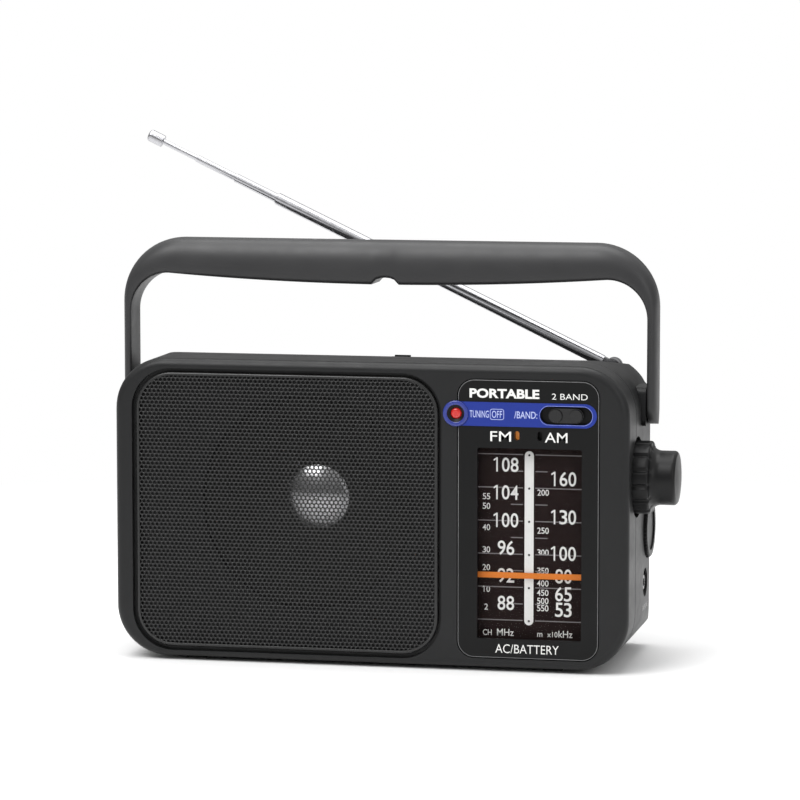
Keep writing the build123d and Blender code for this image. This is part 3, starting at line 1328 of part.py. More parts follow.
BOARD_BACK = BOARD_Y + BOARD
with BuildPart() as main_board:
    with BuildSketch(front(BOARD_BACK)):
        with Locations((middle(BOARD_LEFT, BOARD_RIGHT), middle(BOARD_LOW, BOARD_HIGH))):
            Rectangle(BOARD_RIGHT - BOARD_LEFT, BOARD_HIGH - BOARD_LOW)
        with Locations(*POSTS):
            Circle(POST_SCREW, mode=Mode.SUBTRACT)
    extrude(amount=BOARD)
main_board.part.label = "main_board"
export_step(main_board.part, "parts/main_board.step")

with BuildPart() as inner_screws:
    with BuildSketch(front(BOARD_BACK + 1.6)):
        with Locations(*POSTS):
            Circle(2.1)
    extrude(amount=1.6)
    with BuildSketch(front(BOARD_BACK)):
        with Locations(*POSTS):
            Circle(POST_SCREW)
    extrude(amount=BOARD + 5.0)
    # the loudspeaker's screws, just outside its flange
    with BuildSketch(front(FRONT_WALL + 2.0 + 1.8)):
        with Locations((SPEAKER_X, SPEAKER_Z)):
            with PolarLocations(SPEAKER_FLANGE + 1.0, 4, start_angle=45):
                Circle(3.0)
    extrude(amount=1.8)
    with BuildSketch(front(FRONT_WALL + 2.0)):
        with Locations((SPEAKER_X, SPEAKER_Z)):
            with PolarLocations(SPEAKER_FLANGE + 1.0, 4, start_angle=45):
                Circle(3.0)
            Circle(SPEAKER_FLANGE, mode=Mode.SUBTRACT)
    extrude(amount=2.0)
inner_screws.part.label = "inner_screws"
export_step(inner_screws.part, "parts/inner_screws.step")

# X, Z, radius and height of each
CAPACITORS = [
    (50.0, 24.0, 4.0, 16.0), (60.0, 24.0, 4.0, 16.0), (50.0, 36.0, 3.2, 11.0), (60.0, 90.0, 2.5, 9.0),
]
with BuildPart() as board_components:
    for x, z, radius, tall in CAPACITORS:
        with BuildSketch(front(BOARD_BACK + tall)):
            with Locations((x, z)):
                Circle(radius)
        extrude(amount=tall)
    # the receiver chip
    with BuildSketch(front(BOARD_BACK + 4.0)):
        with Locations((66.0, 42.0)):
            Rectangle(8.0, 24.0)
    extrude(amount=4.0)
board_components.part.label = "board_components"
export_step(board_components.part, "parts/board_components.step")

with BuildPart() as tuned_coils:
    with BuildSketch(front(BOARD_BACK + 12.0)):
        with Locations((50.0, 60.0), (62.0, 60.0), (50.0, 76.0), (62.0, 76.0)):
            RectangleRounded(7.5, 7.5, 0.8)
    extrude(amount=12.0)
tuned_coils.part.label = "tuned_coils"
export_step(tuned_coils.part, "parts/tuned_coils.step")

with BuildPart() as ferrite_rod:
    with BuildSketch(side(FERRITE_X - FERRITE_LONG / 2)):
        with Locations((FERRITE_Y, FERRITE_Z)):
            Circle(FERRITE)
    extrude(amount=FERRITE_LONG)
ferrite_rod.part.label = "ferrite_rod"
export_step(ferrite_rod.part, "parts/ferrite_rod.step")

with BuildPart() as ferrite_coils:
    for start, long in ((-32.0, 24.0), (20.0, 12.0)):
        with BuildSketch(side(start)):
            with Locations((FERRITE_Y, FERRITE_Z)):
                Circle(FERRITE + 1.4)
                Circle(FERRITE, mode=Mode.SUBTRACT)
        extrude(amount=long)
ferrite_coils.part.label = "ferrite_coils"
export_step(ferrite_coils.part, "parts/ferrite_coils.step")

with BuildPart() as ferrite_holders:
    for at in HOLDERS:
        with BuildSketch(side(at - HOLDER_WIDE / 2)):
            with Locations((FERRITE_Y, middle(FERRITE_Z - FERRITE - 2.0, HOLDER_TOP))):
                Rectangle(2 * FERRITE + 4.0, HOLDER_TOP - FERRITE_Z + FERRITE + 2.0)
            with Locations((FERRITE_Y, FERRITE_Z)):
                Circle(FERRITE, mode=Mode.SUBTRACT)
        extrude(amount=HOLDER_WIDE)
ferrite_holders.part.label = "ferrite_holders"
export_step(ferrite_holders.part, "parts/ferrite_holders.step")

# ================= handle =================

HANDLE_FOOT = PIVOT_Z - ARM_WIDE / 2
HANDLE_TALL = GRIP_TOP - HANDLE_FOOT
GRIP_LOW = GRIP_UNDER - GRIP_BOW
with BuildPart() as handle:
    with BuildSketch(front(PIVOT_Y + GRIP_WIDE / 2)):
        with Locations((0, GRIP_TOP - HANDLE_TALL)):
            RectangleRounded(2 * HANDLE_OUTER, 2 * HANDLE_TALL, HANDLE_CORNER)
        with Locations((0, HANDLE_FOOT - HANDLE_TALL)):
            Rectangle(2 * HANDLE_OUTER + 1, 2 * HANDLE_TALL, mode=Mode.SUBTRACT)
        with BuildLine():
            turn = 0.293 * HANDLE_INSIDE
            left = (-ARM_INNER, GRIP_UNDER - HANDLE_INSIDE)
            bend_left = (-ARM_INNER + turn, GRIP_UNDER - turn)
            under_left = (-ARM_INNER + HANDLE_INSIDE, GRIP_UNDER)
            under_right = (ARM_INNER - HANDLE_INSIDE, GRIP_UNDER)
            bend_right = (ARM_INNER - turn, GRIP_UNDER - turn)
            right = (ARM_INNER, GRIP_UNDER - HANDLE_INSIDE)
            ThreePointArc(left, bend_left, under_left)
            ThreePointArc(under_left, (0, GRIP_LOW), under_right)
            ThreePointArc(under_right, bend_right, right)
            Polyline(right, (ARM_INNER, HANDLE_FOOT - 1), (-ARM_INNER, HANDLE_FOOT - 1), left)
        make_face(mode=Mode.SUBTRACT)
        with Locations((0, GRIP_LOW)):
            Trapezoid(NOTCH_WIDE, 2 * NOTCH_DEEP, 65, mode=Mode.SUBTRACT)
    extrude(amount=GRIP_WIDE)
    # arms narrower than the grip, round at the pivots
    with BuildSketch(side(-HANDLE_OUTER)):
        with Locations((PIVOT_Y, PIVOT_Z)):
            Circle(ARM_WIDE / 2)
        with BuildLine():
            Polyline(
                (PIVOT_Y - ARM_WIDE / 2, PIVOT_Z),
                (PIVOT_Y - ARM_WIDE / 2, GRIP_UNDER - 2 * HANDLE_INSIDE),
                (PIVOT_Y - GRIP_WIDE / 2, GRIP_UNDER - HANDLE_INSIDE / 2),
                (PIVOT_Y - GRIP_WIDE / 2, GRIP_TOP + 1),
                (PIVOT_Y + GRIP_WIDE / 2, GRIP_TOP + 1),
                (PIVOT_Y + GRIP_WIDE / 2, GRIP_UNDER - HANDLE_INSIDE / 2),
                (PIVOT_Y + ARM_WIDE / 2, GRIP_UNDER - 2 * HANDLE_INSIDE),
                (PIVOT_Y + ARM_WIDE / 2, PIVOT_Z),
                (PIVOT_Y - ARM_WIDE / 2, PIVOT_Z),
            )
        make_face()
    extrude(amount=2 * HANDLE_OUTER, mode=Mode.INTERSECT)
    # bored for the pins
    with BuildSketch(side(-ARM_INNER - HANDLE_PIN_LONG)):
        with Locations((PIVOT_Y, PIVOT_Z)):
            Circle(HANDLE_PIN + HANDLE_PIN_FIT)
    extrude(amount=2 * ARM_INNER + 2 * HANDLE_PIN_LONG, mode=Mode.SUBTRACT)
handle.part.label = "handle"
export_step(handle.part, "parts/handle.step")

with BuildPart() as handle_pins:
    for way in (-1, 1):
        with BuildSketch(side(way * PIN_ROOT)):
            with Locations((PIVOT_Y, PIVOT_Z)):
                Circle(HANDLE_PIN)
        extrude(amount=way * (ARM_INNER + HANDLE_PIN_LONG - 0.1 - PIN_ROOT))
handle_pins.part.label = "handle_pins"
export_step(handle_pins.part, "parts/handle_pins.step")

# ================= telescopic rod =================

SEAT_Z = LEDGE_TOP - SWIVEL_SEAT + SWIVEL_LIFT
DISC_TOP = SEAT_Z + SWIVEL_DISC
CHEEK_HALF = KNUCKLE / 2 + CHEEK_GAP
PIN_HALF = CHEEK_HALF + CHEEK
YOKE_HALF = 3.8
with BuildPart() as rod_swivel:
    with BuildSketch(above(SEAT_Z)):
        with Locations((ROD_X, ROD_Y)):
            Circle(SWIVEL)
    extrude(amount=SWIVEL_DISC)
    with BuildSketch(above(SWIVEL_FLOOR - 1.6)):
        with Locations((ROD_X, ROD_Y)):
            Circle(SWIVEL_STEM)
    extrude(amount=SEAT_Z - SWIVEL_FLOOR + 1.6)
    with BuildSketch(front(ROD_Y + PIN_HALF)):
        with Locations((ROD_X, ROD_Z)):
            Circle(YOKE_HALF)
        with Locations((ROD_X, middle(DISC_TOP - 0.2, ROD_Z))):
            Rectangle(2 * YOKE_HALF, ROD_Z - DISC_TOP + 0.2)
    extrude(amount=2 * PIN_HALF)
    with BuildSketch(front(ROD_Y + CHEEK_HALF)):
        with Locations((ROD_X, DISC_TOP + 10)):
            Rectangle(4 * YOKE_HALF, 20)
    extrude(amount=2 * CHEEK_HALF, mode=Mode.SUBTRACT)
    with BuildSketch(front(ROD_Y + PIN_HALF)):
        with Locations((ROD_X, ROD_Z)):
            Circle(ROD_PIN)
    extrude(amount=2 * PIN_HALF, mode=Mode.SUBTRACT)
rod_swivel.part.label = "rod_swivel"
export_step(rod_swivel.part, "parts/rod_swivel.step")

with BuildPart() as swivel_washer:
    with BuildSketch(above(SWIVEL_FLOOR - 1.2)):
        with Locations((ROD_X, ROD_Y)):
            Circle(SWIVEL)
            Circle(SWIVEL_STEM, mode=Mode.SUBTRACT)
    extrude(amount=1.2 - SWIVEL_LIFT)
swivel_washer.part.label = "swivel_washer"
export_step(swivel_washer.part, "parts/swivel_washer.step")

with BuildPart() as rod_pin:
    with BuildSketch(front(ROD_Y + PIN_HALF)):
        with Locations((ROD_X, ROD_Z)):
            Circle(ROD_PIN)
    extrude(amount=2 * PIN_HALF)
    for depth in (ROD_Y + PIN_HALF + 0.5, ROD_Y - PIN_HALF):
        with BuildSketch(front(depth)):
            with Locations((ROD_X, ROD_Z)):
                Circle(2.1)
        extrude(amount=0.5)
rod_pin.part.label = "rod_pin"
export_step(rod_pin.part, "parts/rod_pin.step")

TUBE_OUT = ROD_SIZES[0] / 2
with BuildPart() as rod_knuckle:
    with BuildSketch(front(ROD_Y + KNUCKLE / 2)):
        with Locations((ROD_X, ROD_Z)):
            Circle(ROD_Z - DISC_TOP - 0.15)
    extrude(amount=KNUCKLE)
    with BuildSketch(along_rod(0)):
        Rectangle(KNUCKLE, 4.4)
    extrude(amount=ROD_TUBE_START)
    with BuildSketch(along_rod(ROD_TUBE_START - 2.0)):
        Circle(TUBE_OUT)
    extrude(amount=2.0)
    with BuildSketch(along_rod(ROD_TUBE_START)):
        Circle(TUBE_OUT - ROD_WALL)
    extrude(amount=3.2)
    with BuildSketch(front(ROD_Y + KNUCKLE)):
        with Locations((ROD_X, ROD_Z)):
            Circle(ROD_PIN + SHAFT_FIT)
    extrude(amount=2 * KNUCKLE, mode=Mode.SUBTRACT)
rod_knuckle.part.label = "rod_knuckle"
export_step(rod_knuckle.part, "parts/rod_knuckle.step")

with BuildPart() as rod_tube:
    with BuildSketch(along_rod(ROD_TUBE_START)):
        Circle(TUBE_OUT)
        Circle(TUBE_OUT - ROD_WALL, mode=Mode.SUBTRACT)
    extrude(amount=ROD_TUBE_END - ROD_TUBE_START)
rod_tube.part.label = "rod_tube"
export_step(rod_tube.part, "parts/rod_tube.step")

# each section slides in the one before it, and the last is solid
section_end = ROD_TUBE_END
for number, (size, shown, long) in enumerate(zip(ROD_SIZES[1:], ROD_STEPS, ROD_LENGTHS), 1):
    section_end += shown
    with BuildPart() as rod_section:
        with BuildSketch(along_rod(section_end - long)):
            Circle(size / 2)
            if number < len(ROD_LENGTHS):
                Circle(size / 2 - ROD_WALL, mode=Mode.SUBTRACT)
        extrude(amount=long)
    rod_section.part.label = f"rod_section_{number}"
    export_step(rod_section.part, f"parts/rod_section_{number}.step")

with BuildPart() as rod_tip:
    with BuildSketch(along_rod(section_end)):
        Circle(TUBE_OUT)
    extrude(amount=TIP_LONG)
    fillet(rod_tip.edges().sort_by(Axis.Z)[-1], radius=1.2)
rod_tip.part.label = "rod_tip"
export_step(rod_tip.part, "parts/rod_tip.step")
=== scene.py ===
import bmesh
import bpy
import json
import math
from mathutils import Matrix, Vector


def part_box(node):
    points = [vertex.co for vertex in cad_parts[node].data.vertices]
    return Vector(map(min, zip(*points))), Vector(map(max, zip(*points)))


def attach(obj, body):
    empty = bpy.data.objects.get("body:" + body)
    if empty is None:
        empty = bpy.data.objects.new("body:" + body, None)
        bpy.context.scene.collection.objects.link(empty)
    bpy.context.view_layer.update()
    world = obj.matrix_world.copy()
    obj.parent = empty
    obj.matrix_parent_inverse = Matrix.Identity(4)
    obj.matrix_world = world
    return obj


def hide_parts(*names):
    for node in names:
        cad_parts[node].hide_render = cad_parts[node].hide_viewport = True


# The looks of a portable two-band radio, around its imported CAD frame, in metres.
# X runs to the listener's right, Y from the front to the back, Z up.

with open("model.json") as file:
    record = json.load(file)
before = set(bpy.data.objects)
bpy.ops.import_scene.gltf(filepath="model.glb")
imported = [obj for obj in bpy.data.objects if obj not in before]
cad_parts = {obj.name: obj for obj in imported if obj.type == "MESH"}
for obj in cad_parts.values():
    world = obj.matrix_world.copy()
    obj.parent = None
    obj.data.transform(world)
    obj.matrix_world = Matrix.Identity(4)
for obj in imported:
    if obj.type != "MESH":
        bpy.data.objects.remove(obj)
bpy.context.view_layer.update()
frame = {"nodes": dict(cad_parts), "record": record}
MM = 0.001


# ================= small helpers =================


def keep(piece, body):
    """Puts a finished piece on its body."""
    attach(piece, body)


def object_from(name, bm, material, smooth=False):
    """Turns a bmesh into a named object with one material."""
    bmesh.ops.recalc_face_normals(bm, faces=bm.faces)
    mesh = bpy.data.meshes.new(name)
    bm.to_mesh(mesh)
    bm.free()
    if smooth:
        for face in mesh.polygons:
            face.use_smooth = True
    mesh.materials.append(material)
    piece = bpy.data.objects.new(name, mesh)
    bpy.context.scene.collection.objects.link(piece)
    return piece


def rounded_outline(left, right, low, high, corner, steps=12):
    """Points round an upright rounded rectangle, as (x, z), anticlockwise."""
    points = []
    centres = [
        (right - corner, high - corner, 0),
        (left + corner, high - corner, 90),
        (left + corner, low + corner, 180),
        (right - corner, low + corner, 270),
    ]
    for x, z, start in centres:
        for i in range(steps + 1):
            a = math.radians(start + 90 * i / steps)
            points.append((x + corner * math.cos(a), z + corner * math.sin(a)))
    return points


def loft(bm, loops, closed=True):
    """Skins a list of equally long point loops with quads."""
    rings = [[bm.verts.new(point) for point in loop] for loop in loops]
    for one, two in zip(rings, rings[1:]):
        count = len(one)
        for i in range(count if closed else count - 1):
            j = (i + 1) % count
            bm.faces.new((one[i], one[j], two[j], two[i]))
    return rings


# ================= materials =================


def new_material(name):
    """A node material with its shader, and one object-space coordinate for its textures."""
    material = bpy.data.materials.new(name)
    material.use_nodes = True
    nodes = material.node_tree.nodes
    shader = nodes["Principled BSDF"]
    place = nodes.new("ShaderNodeTexCoord")
    return material, shader, place.outputs["Object"]


def link(material, out, into):
    """Joins two sockets of a material's nodes."""
    material.node_tree.links.new(out, into)


def noise(material, place, scale, detail=4.0, roughness=0.6):
    """Noise of so many cells to the metre."""
    node = material.node_tree.nodes.new("ShaderNodeTexNoise")
    node.inputs["Scale"].default_value = scale
    node.inputs["Detail"].default_value = detail
    node.inputs["Roughness"].default_value = roughness
    link(material, place, node.inputs["Vector"])
    return node.outputs["Fac"]


def stretched(material, place, scale):
    """The same coordinate, scaled unequally, for drawn or brushed surfaces."""
    node = material.node_tree.nodes.new("ShaderNodeMapping")
    node.inputs["Scale"].default_value = scale
    link(material, place, node.inputs["Vector"])
    return node.outputs["Vector"]


def ramp(material, value, low, high, out_low, out_high):
    """Maps a texture's value from one range to another."""
    node = material.node_tree.nodes.new("ShaderNodeMapRange")
    node.inputs["From Min"].default_value = low
    node.inputs["From Max"].default_value = high
    node.inputs["To Min"].default_value = out_low
    node.inputs["To Max"].default_value = out_high
    link(material, value, node.inputs["Value"])
    return node.outputs["Result"]


def blend_colours(material, value, dark, light):
    """Mixes two colours by a texture's value. Inputs 6 and 7 of a Mix node are its two colours."""
    node = material.node_tree.nodes.new("ShaderNodeMix")
    node.data_type = "RGBA"
    node.inputs[6].default_value = (*dark, 1.0)
    node.inputs[7].default_value = (*light, 1.0)
    link(material, value, node.inputs[0])
    return node.outputs[2]


def base_colour(material, shader, value, dark, light):
    """Varies the shader's colour between two tones by a texture's value."""
    link(material, blend_colours(material, value, dark, light), shader.inputs["Base Color"])


def bump(material, shader, value, depth, strength=1.0):
    """Raises the surface by a texture's value, to a depth in metres."""
    node = material.node_tree.nodes.new("ShaderNodeBump")
    node.inputs["Distance"].default_value = depth
    node.inputs["Strength"].default_value = strength
    link(material, value, node.inputs["Height"])
    link(material, node.outputs["Normal"], shader.inputs["Normal"])
    return node


def moulded(name, dark, light, rough, grain_scale=2600, grain=0.00002, specular=0.5):
    """Moulded plastic: fine spark grain, slow variation of tone and roughness."""
    material, shader, place = new_material(name)
    clouds = noise(material, place, 35, 3.0)
    base_colour(material, shader, clouds, dark, light)
    smears = noise(material, place, 90, 5.0, 0.7)
    link(material, ramp(material, smears, 0.3, 0.7, rough - 0.05, rough + 0.06), shader.inputs["Roughness"])
    shader.inputs["Specular IOR Level"].default_value = specular
    bump(material, shader, noise(material, place, grain_scale, 2.0), grain, 0.5)
    return material


def metal(name, dark, light, rough, stretch=(1, 1, 1), scale=900, depth=0.000004):
    """Plain metal with faint marks drawn out along one direction."""
    material, shader, place = new_material(name)
    drawn = noise(material, stretched(material, place, stretch), scale, 4.0)
    base_colour(material, shader, drawn, dark, light)
    link(material, ramp(material, drawn, 0.3, 0.7, rough - 0.04, rough + 0.06), shader.inputs["Roughness"])
    shader.inputs["Metallic"].default_value = 1.0
    bump(material, shader, drawn, depth, 0.6)
    return material


def printed(name, colour, rough=0.5):
    """Screen-printed ink: nearly even, a little uneven in tone and gloss."""
    material, shader, place = new_material(name)
    paler = tuple(min(1.0, c * 1.06 + 0.004) for c in colour)
    mottle = noise(material, place, 700, 3.0)
    base_colour(material, shader, mottle, colour, paler)
    link(material, ramp(material, mottle, 0.3, 0.7, rough - 0.05, rough + 0.05), shader.inputs["Roughness"])
    bump(material, shader, mottle, 0.000004, 0.4)
    return material


def cabinet_material():
    """Fine-grained black polystyrene, with the moulding's satin sheen on its rounded edges."""
    return moulded("cabinet_plastic", (0.0095, 0.0097, 0.01), (0.013, 0.0132, 0.0136), 0.4, specular=0.26)


def glass_material():
    """A clear acrylic window: see-through, with a soft gloss and a little haze."""
    material, shader, place = new_material("lens_clear_plastic")
    haze = noise(material, place, 300, 3.0)
    shader.inputs["Base Color"].default_value = (0.02, 0.02, 0.02, 1)
    shader.inputs["Specular IOR Level"].default_value = 0.04
    link(material, ramp(material, haze, 0.3, 0.7, 0.04, 0.07), shader.inputs["Roughness"])
    link(material, ramp(material, haze, 0.3, 0.7, 0.05, 0.07), shader.inputs["Alpha"])
    bump(material, shader, haze, 0.000002, 0.2)
    return material


def painted_glow_plastic(name, dark, light, glow):
    """Bright plastic with a painted glow: emission that brightens a piece which is no lamp."""
    material, shader, place = new_material(name)
    mottle = noise(material, place, 900, 2.0)
    colour = blend_colours(material, mottle, dark, light)
    link(material, colour, shader.inputs["Base Color"])
    link(material, colour, shader.inputs["Emission Color"])
    shader.inputs["Emission Strength"].default_value = glow
    shader.inputs["Roughness"].default_value = 0.4
    bump(material, shader, mottle, 0.000004, 0.4)
    return material


def lamp_material():
    """Red resin that glows faintly, under a clear gloss."""
    material, shader, place = new_material("lamp_red_resin")
    glow = noise(material, place, 900, 2.0)
    base_colour(material, shader, glow, (0.42, 0.008, 0.007), (0.55, 0.014, 0.01))
    shader.inputs["Roughness"].default_value = 0.2
    shader.inputs["Coat Weight"].default_value = 0.6
    shader.inputs["Emission Color"].default_value = (0.9, 0.03, 0.02, 1)
    shader.inputs["Emission Strength"].default_value = 0.08
    bump(material, shader, glow, 0.000006, 0.5)
    return material


def cone_material():
    """Pulp paper, with a felted fibre grain."""
    material, shader, place = new_material("cone_pulp")
    fibres = noise(material, place, 1500, 6.0, 0.8)
    base_colour(material, shader, fibres, (0.008, 0.008, 0.008), (0.02, 0.02, 0.019))
    link(material, ramp(material, fibres, 0.3, 0.7, 0.8, 0.95), shader.inputs["Roughness"])
    bump(material, shader, fibres, 0.00006, 0.8)
    return material


def winding_material():
    """Enamelled wire in close turns along X."""
    material, shader, place = new_material("copper_winding")
    wave = material.node_tree.nodes.new("ShaderNodeTexWave")
    wave.bands_direction = "X"
    wave.inputs["Scale"].default_value = 600
    link(material, place, wave.inputs["Vector"])
    base_colour(material, shader, wave.outputs["Fac"], (0.2, 0.05, 0.015), (0.55, 0.2, 0.07))
    shader.inputs["Metallic"].default_value = 0.8
    link(material, ramp(material, wave.outputs["Fac"], 0, 1, 0.45, 0.28), shader.inputs["Roughness"])
    bump(material, shader, wave.outputs["Fac"], 0.0001, 0.8)
    return material


PLASTIC = cabinet_material()
PANEL = moulded(
    "panel_plastic", (0.0055, 0.0056, 0.0057), (0.007, 0.0071, 0.0072), 0.36, 3600, 0.000008, 0.16
)
HANDLE = moulded("handle_plastic", (0.019, 0.019, 0.02), (0.025, 0.025, 0.026), 0.42, 3000, 0.000014, 0.45)
KNOB = moulded("knob_plastic", (0.006, 0.006, 0.0062), (0.0085, 0.0085, 0.0088), 0.34, 3200, 0.00001, 0.2)
SLIDER = moulded("slider_plastic", (0.006, 0.006, 0.0065), (0.01, 0.01, 0.0105), 0.13, 1200, 0.000003, 0.45)
GRILLE = moulded("grille_paint", (0.011, 0.011, 0.011), (0.016, 0.016, 0.016), 0.3, 2200, 0.000012, 0.45)
RUBBER = moulded("foot_rubber", (0.008, 0.008, 0.008), (0.012, 0.012, 0.012), 0.8, 1800, 0.00004)
SCALE = moulded("scale_sheet", (0.013, 0.0072, 0.0068), (0.0155, 0.0088, 0.0083), 0.55, 900, 0.000004, 0.05)
STRIP = moulded("strip_blue_plastic", (0.017, 0.034, 0.23), (0.021, 0.04, 0.26), 0.32, 2600, 0.000006, 0.15)
ORANGE = moulded("pointer_plastic", (0.62, 0.17, 0.02), (0.7, 0.2, 0.03), 0.5, 1500, 0.000006, 0.2)
WHITE = moulded("acetal_white", (0.68, 0.68, 0.64), (0.76, 0.76, 0.72), 0.4, 1500, 0.00001)
BOARD = moulded("board_phenolic", (0.22, 0.11, 0.035), (0.3, 0.16, 0.06), 0.5, 500, 0.00003)
DARK_PARTS = moulded("component_sleeve", (0.02, 0.02, 0.024), (0.035, 0.035, 0.04), 0.4)
FERRITE = moulded("ferrite_sintered", (0.035, 0.035, 0.036), (0.06, 0.06, 0.06), 0.6, 700, 0.00006)
CORD = moulded("cord_braid", (0.42, 0.4, 0.33), (0.6, 0.57, 0.48), 0.85, 5000, 0.00005)
CHROME = metal("rod_chrome_plate", (0.46, 0.46, 0.48), (0.54, 0.54, 0.56), 0.2, (1, 1, 1), 500, 0.000002)
RING = moulded("ring_blue_plastic", (0.015, 0.028, 0.2), (0.02, 0.035, 0.24), 0.15, 2600, 0.000004, 0.6)
# the band flags are painted flags, no lamp; their emission is painted light against the shade of their
# windows
FLAG = painted_glow_plastic("flag_amber_painted_glow", (0.62, 0.2, 0.03), (0.7, 0.25, 0.045), 0.45)
STEEL = metal("plain_steel", (0.32, 0.32, 0.33), (0.48, 0.48, 0.48), 0.38, (1, 1, 12), 300)
TINNED = metal("tinned_plate", (0.52, 0.52, 0.5), (0.68, 0.68, 0.66), 0.32, (10, 1, 1), 260)
BRASS = metal("turned_brass", (0.5, 0.33, 0.1), (0.66, 0.47, 0.18), 0.28, (1, 12, 12), 200)
CAP = metal("dust_cap_metal", (0.5, 0.5, 0.51), (0.66, 0.66, 0.67), 0.2, (1, 1, 1), 600)
BASKET = metal("basket_passivated", (0.06, 0.06, 0.06), (0.1, 0.1, 0.1), 0.5, (1, 1, 1), 400)
CORE = metal("core_laminations", (0.08, 0.065, 0.05), (0.16, 0.13, 0.1), 0.5, (40, 1, 1), 60, 0.00004)
GLASS = glass_material()
LAMP = lamp_material()
CONE = cone_material()
WINDING = winding_material()
INK = printed("white_ink", (0.74, 0.74, 0.72))
INK_GREY = printed("grey_ink", (0.17, 0.155, 0.16))
INK_SIDE = printed("side_ink", (0.4, 0.4, 0.4))
INK_BLACK = printed("black_ink", (0.004, 0.004, 0.004))
INK_PALE = printed("pale_blue_ink", (0.42, 0.47, 0.72))

BY_SLOT = {
    "cabinet": PLASTIC,
    "rubber": RUBBER,
    "screw_steel": STEEL,
    "contact_metal": TINNED,
    "grille_metal": GRILLE,
    "basket_metal": BASKET,
    "cone_paper": CONE,
    "dust_cap_metal": CAP,
    "magnet": FERRITE,
    "panel": PANEL,
    "strip_blue": STRIP,
    "ring_blue": RING,
    "lamp_red": LAMP,
    "lens_clear": GLASS,
    "scale_dark": SCALE,
    "pointer_orange": ORANGE,
    "slider_dark": SLIDER,
    "switch_metal": TINNED,
    "knob": KNOB,
    "shaft_steel": STEEL,
    "bush_brass": BRASS,
    "drum_white": WHITE,
    "capacitor_white": WHITE,
    "cord_fibre": CORD,
    "core_iron": CORE,
    "board_tan": BOARD,
    "component_dark": DARK_PARTS,
    "coil_copper": WINDING,
    "handle": HANDLE,
    "rod_chrome": CHROME,
}


def dress_cad_nodes():
    """Gives every CAD node the material of its slot."""
    for row in frame["record"]["subparts"]:
        node = frame["nodes"][row["node"]]
        for slot in node.material_slots:
            slot.material = BY_SLOT[row["material_slot"]]
    # the band flags take the amber material with its painted glow
    for slot in frame["nodes"]["band_flags"].material_slots:
        slot.material = FLAG


dress_cad_nodes()

# ================= grille =================

PITCH = 1.9 * MM
ROW = PITCH * math.sqrt(3) / 2
HOLE = 0.77 * MM
HOLE_SINK = 0.16 * MM
HOLE_SIDES = 7
SHEET = 0.5 * MM
RIM = 1.5 * MM
RIM_ROUND = 1.1 * MM
RIM_WALL = 0.8 * MM
PAN_CORNER = 15.9 * MM
SHEET_SUNK = 0.12 * MM
SHEET_TUCK = 0.55 * MM
RIM_LIP = 0.3 * MM
WELD = 0.001 * MM


def inside_rounded(x, z, left, right, low, high, corner):
    """Whether a point lies in an upright rounded rectangle."""
    dx = max(left + corner - x, x - right + corner, 0)
    dz = max(low + corner - z, z - high + corner, 0)
    if dx and dz:
        return math.hypot(dx, dz) <= corner
    return left <= x <= right and low <= z <= high


def perforated_sheet(bm, low, high, y):
    """A sheet of hexagonal cells, each with a round hole through it, its front edge a little sunk."""
    edge = RIM - SHEET_TUCK
    left, right = low.x + edge, high.x - edge
    base, top = low.z + edge, high.z - edge
    corner = PAN_CORNER - edge
    middle = (low + high) / 2
    across = int((right - left) / PITCH / 2) + 2
    up = int((top - base) / ROW / 2) + 2
    cells = {}
    for row in range(-up, up + 1):
        for column in range(-across, across + 1):
            x = middle.x + (column + (row % 2) / 2) * PITCH
            z = middle.z + row * ROW
            if inside_rounded(x, z, left, right, base, top, corner):
                cells[(row, column)] = (x, z)
    corners = [math.radians(60 * k + 30) for k in range(6)]
    reach_out = PITCH / math.sqrt(3)
    known = {}

    def lattice(x, z, depth):
        """The corner that neighbouring cells share, made once."""
        key = (round(x / MM, 2), round(z / MM, 2), depth)
        if key not in known:
            known[key] = bm.verts.new((x, y + depth * SHEET, z))
        return known[key]

    for (row, column), (x, z) in cells.items():
        rings = []
        for depth in (0, 1):
            outer = []
            for a in corners:
                outer.append(lattice(x + reach_out * math.cos(a), z + reach_out * math.sin(a), depth))
            inner = []
            for k in range(HOLE_SIDES):
                a = 2 * math.pi * k / HOLE_SIDES + corners[0]
                sunk = y + (SHEET if depth else HOLE_SINK)
                inner.append(bm.verts.new((x + HOLE * math.cos(a), sunk, z + HOLE * math.sin(a))))
            rings.append((outer, inner))
            bridge(bm, outer, inner, flip=depth == 1)
        (front_out, front_in), (back_out, back_in) = rings
        for k in range(HOLE_SIDES):
            j = (k + 1) % HOLE_SIDES
            bm.faces.new((front_in[k], front_in[j], back_in[j], back_in[k]))
        shift = row % 2
        beside = [
            (row + 1, column + shift),
            (row + 1, column - 1 + shift),
            (row, column - 1),
            (row - 1, column - 1 + shift),
            (row - 1, column + shift),
            (row, column + 1),
        ]
        for k, neighbour in enumerate(beside):
            if neighbour not in cells:
                a, b = k, (k + 1) % 6
                bm.faces.new((front_out[a], back_out[a], back_out[b], front_out[b]))


def bridge(bm, outer, inner, flip):
    """Triangles between a hexagon and the hole inside it, both starting at the same angle."""
    i = j = 0
    while i < len(outer) or j < len(inner):
        a, b = outer[i % len(outer)], inner[j % len(inner)]
        if j >= len(inner) or (i < len(outer) and (i + 1) / len(outer) <= (j + 1) / len(inner)):
            i += 1
            face = (a, outer[i % len(outer)], b)
        else:
            j += 1
            face = (a, inner[j % len(inner)], b)
        bm.faces.new(face[::-1] if flip else face)


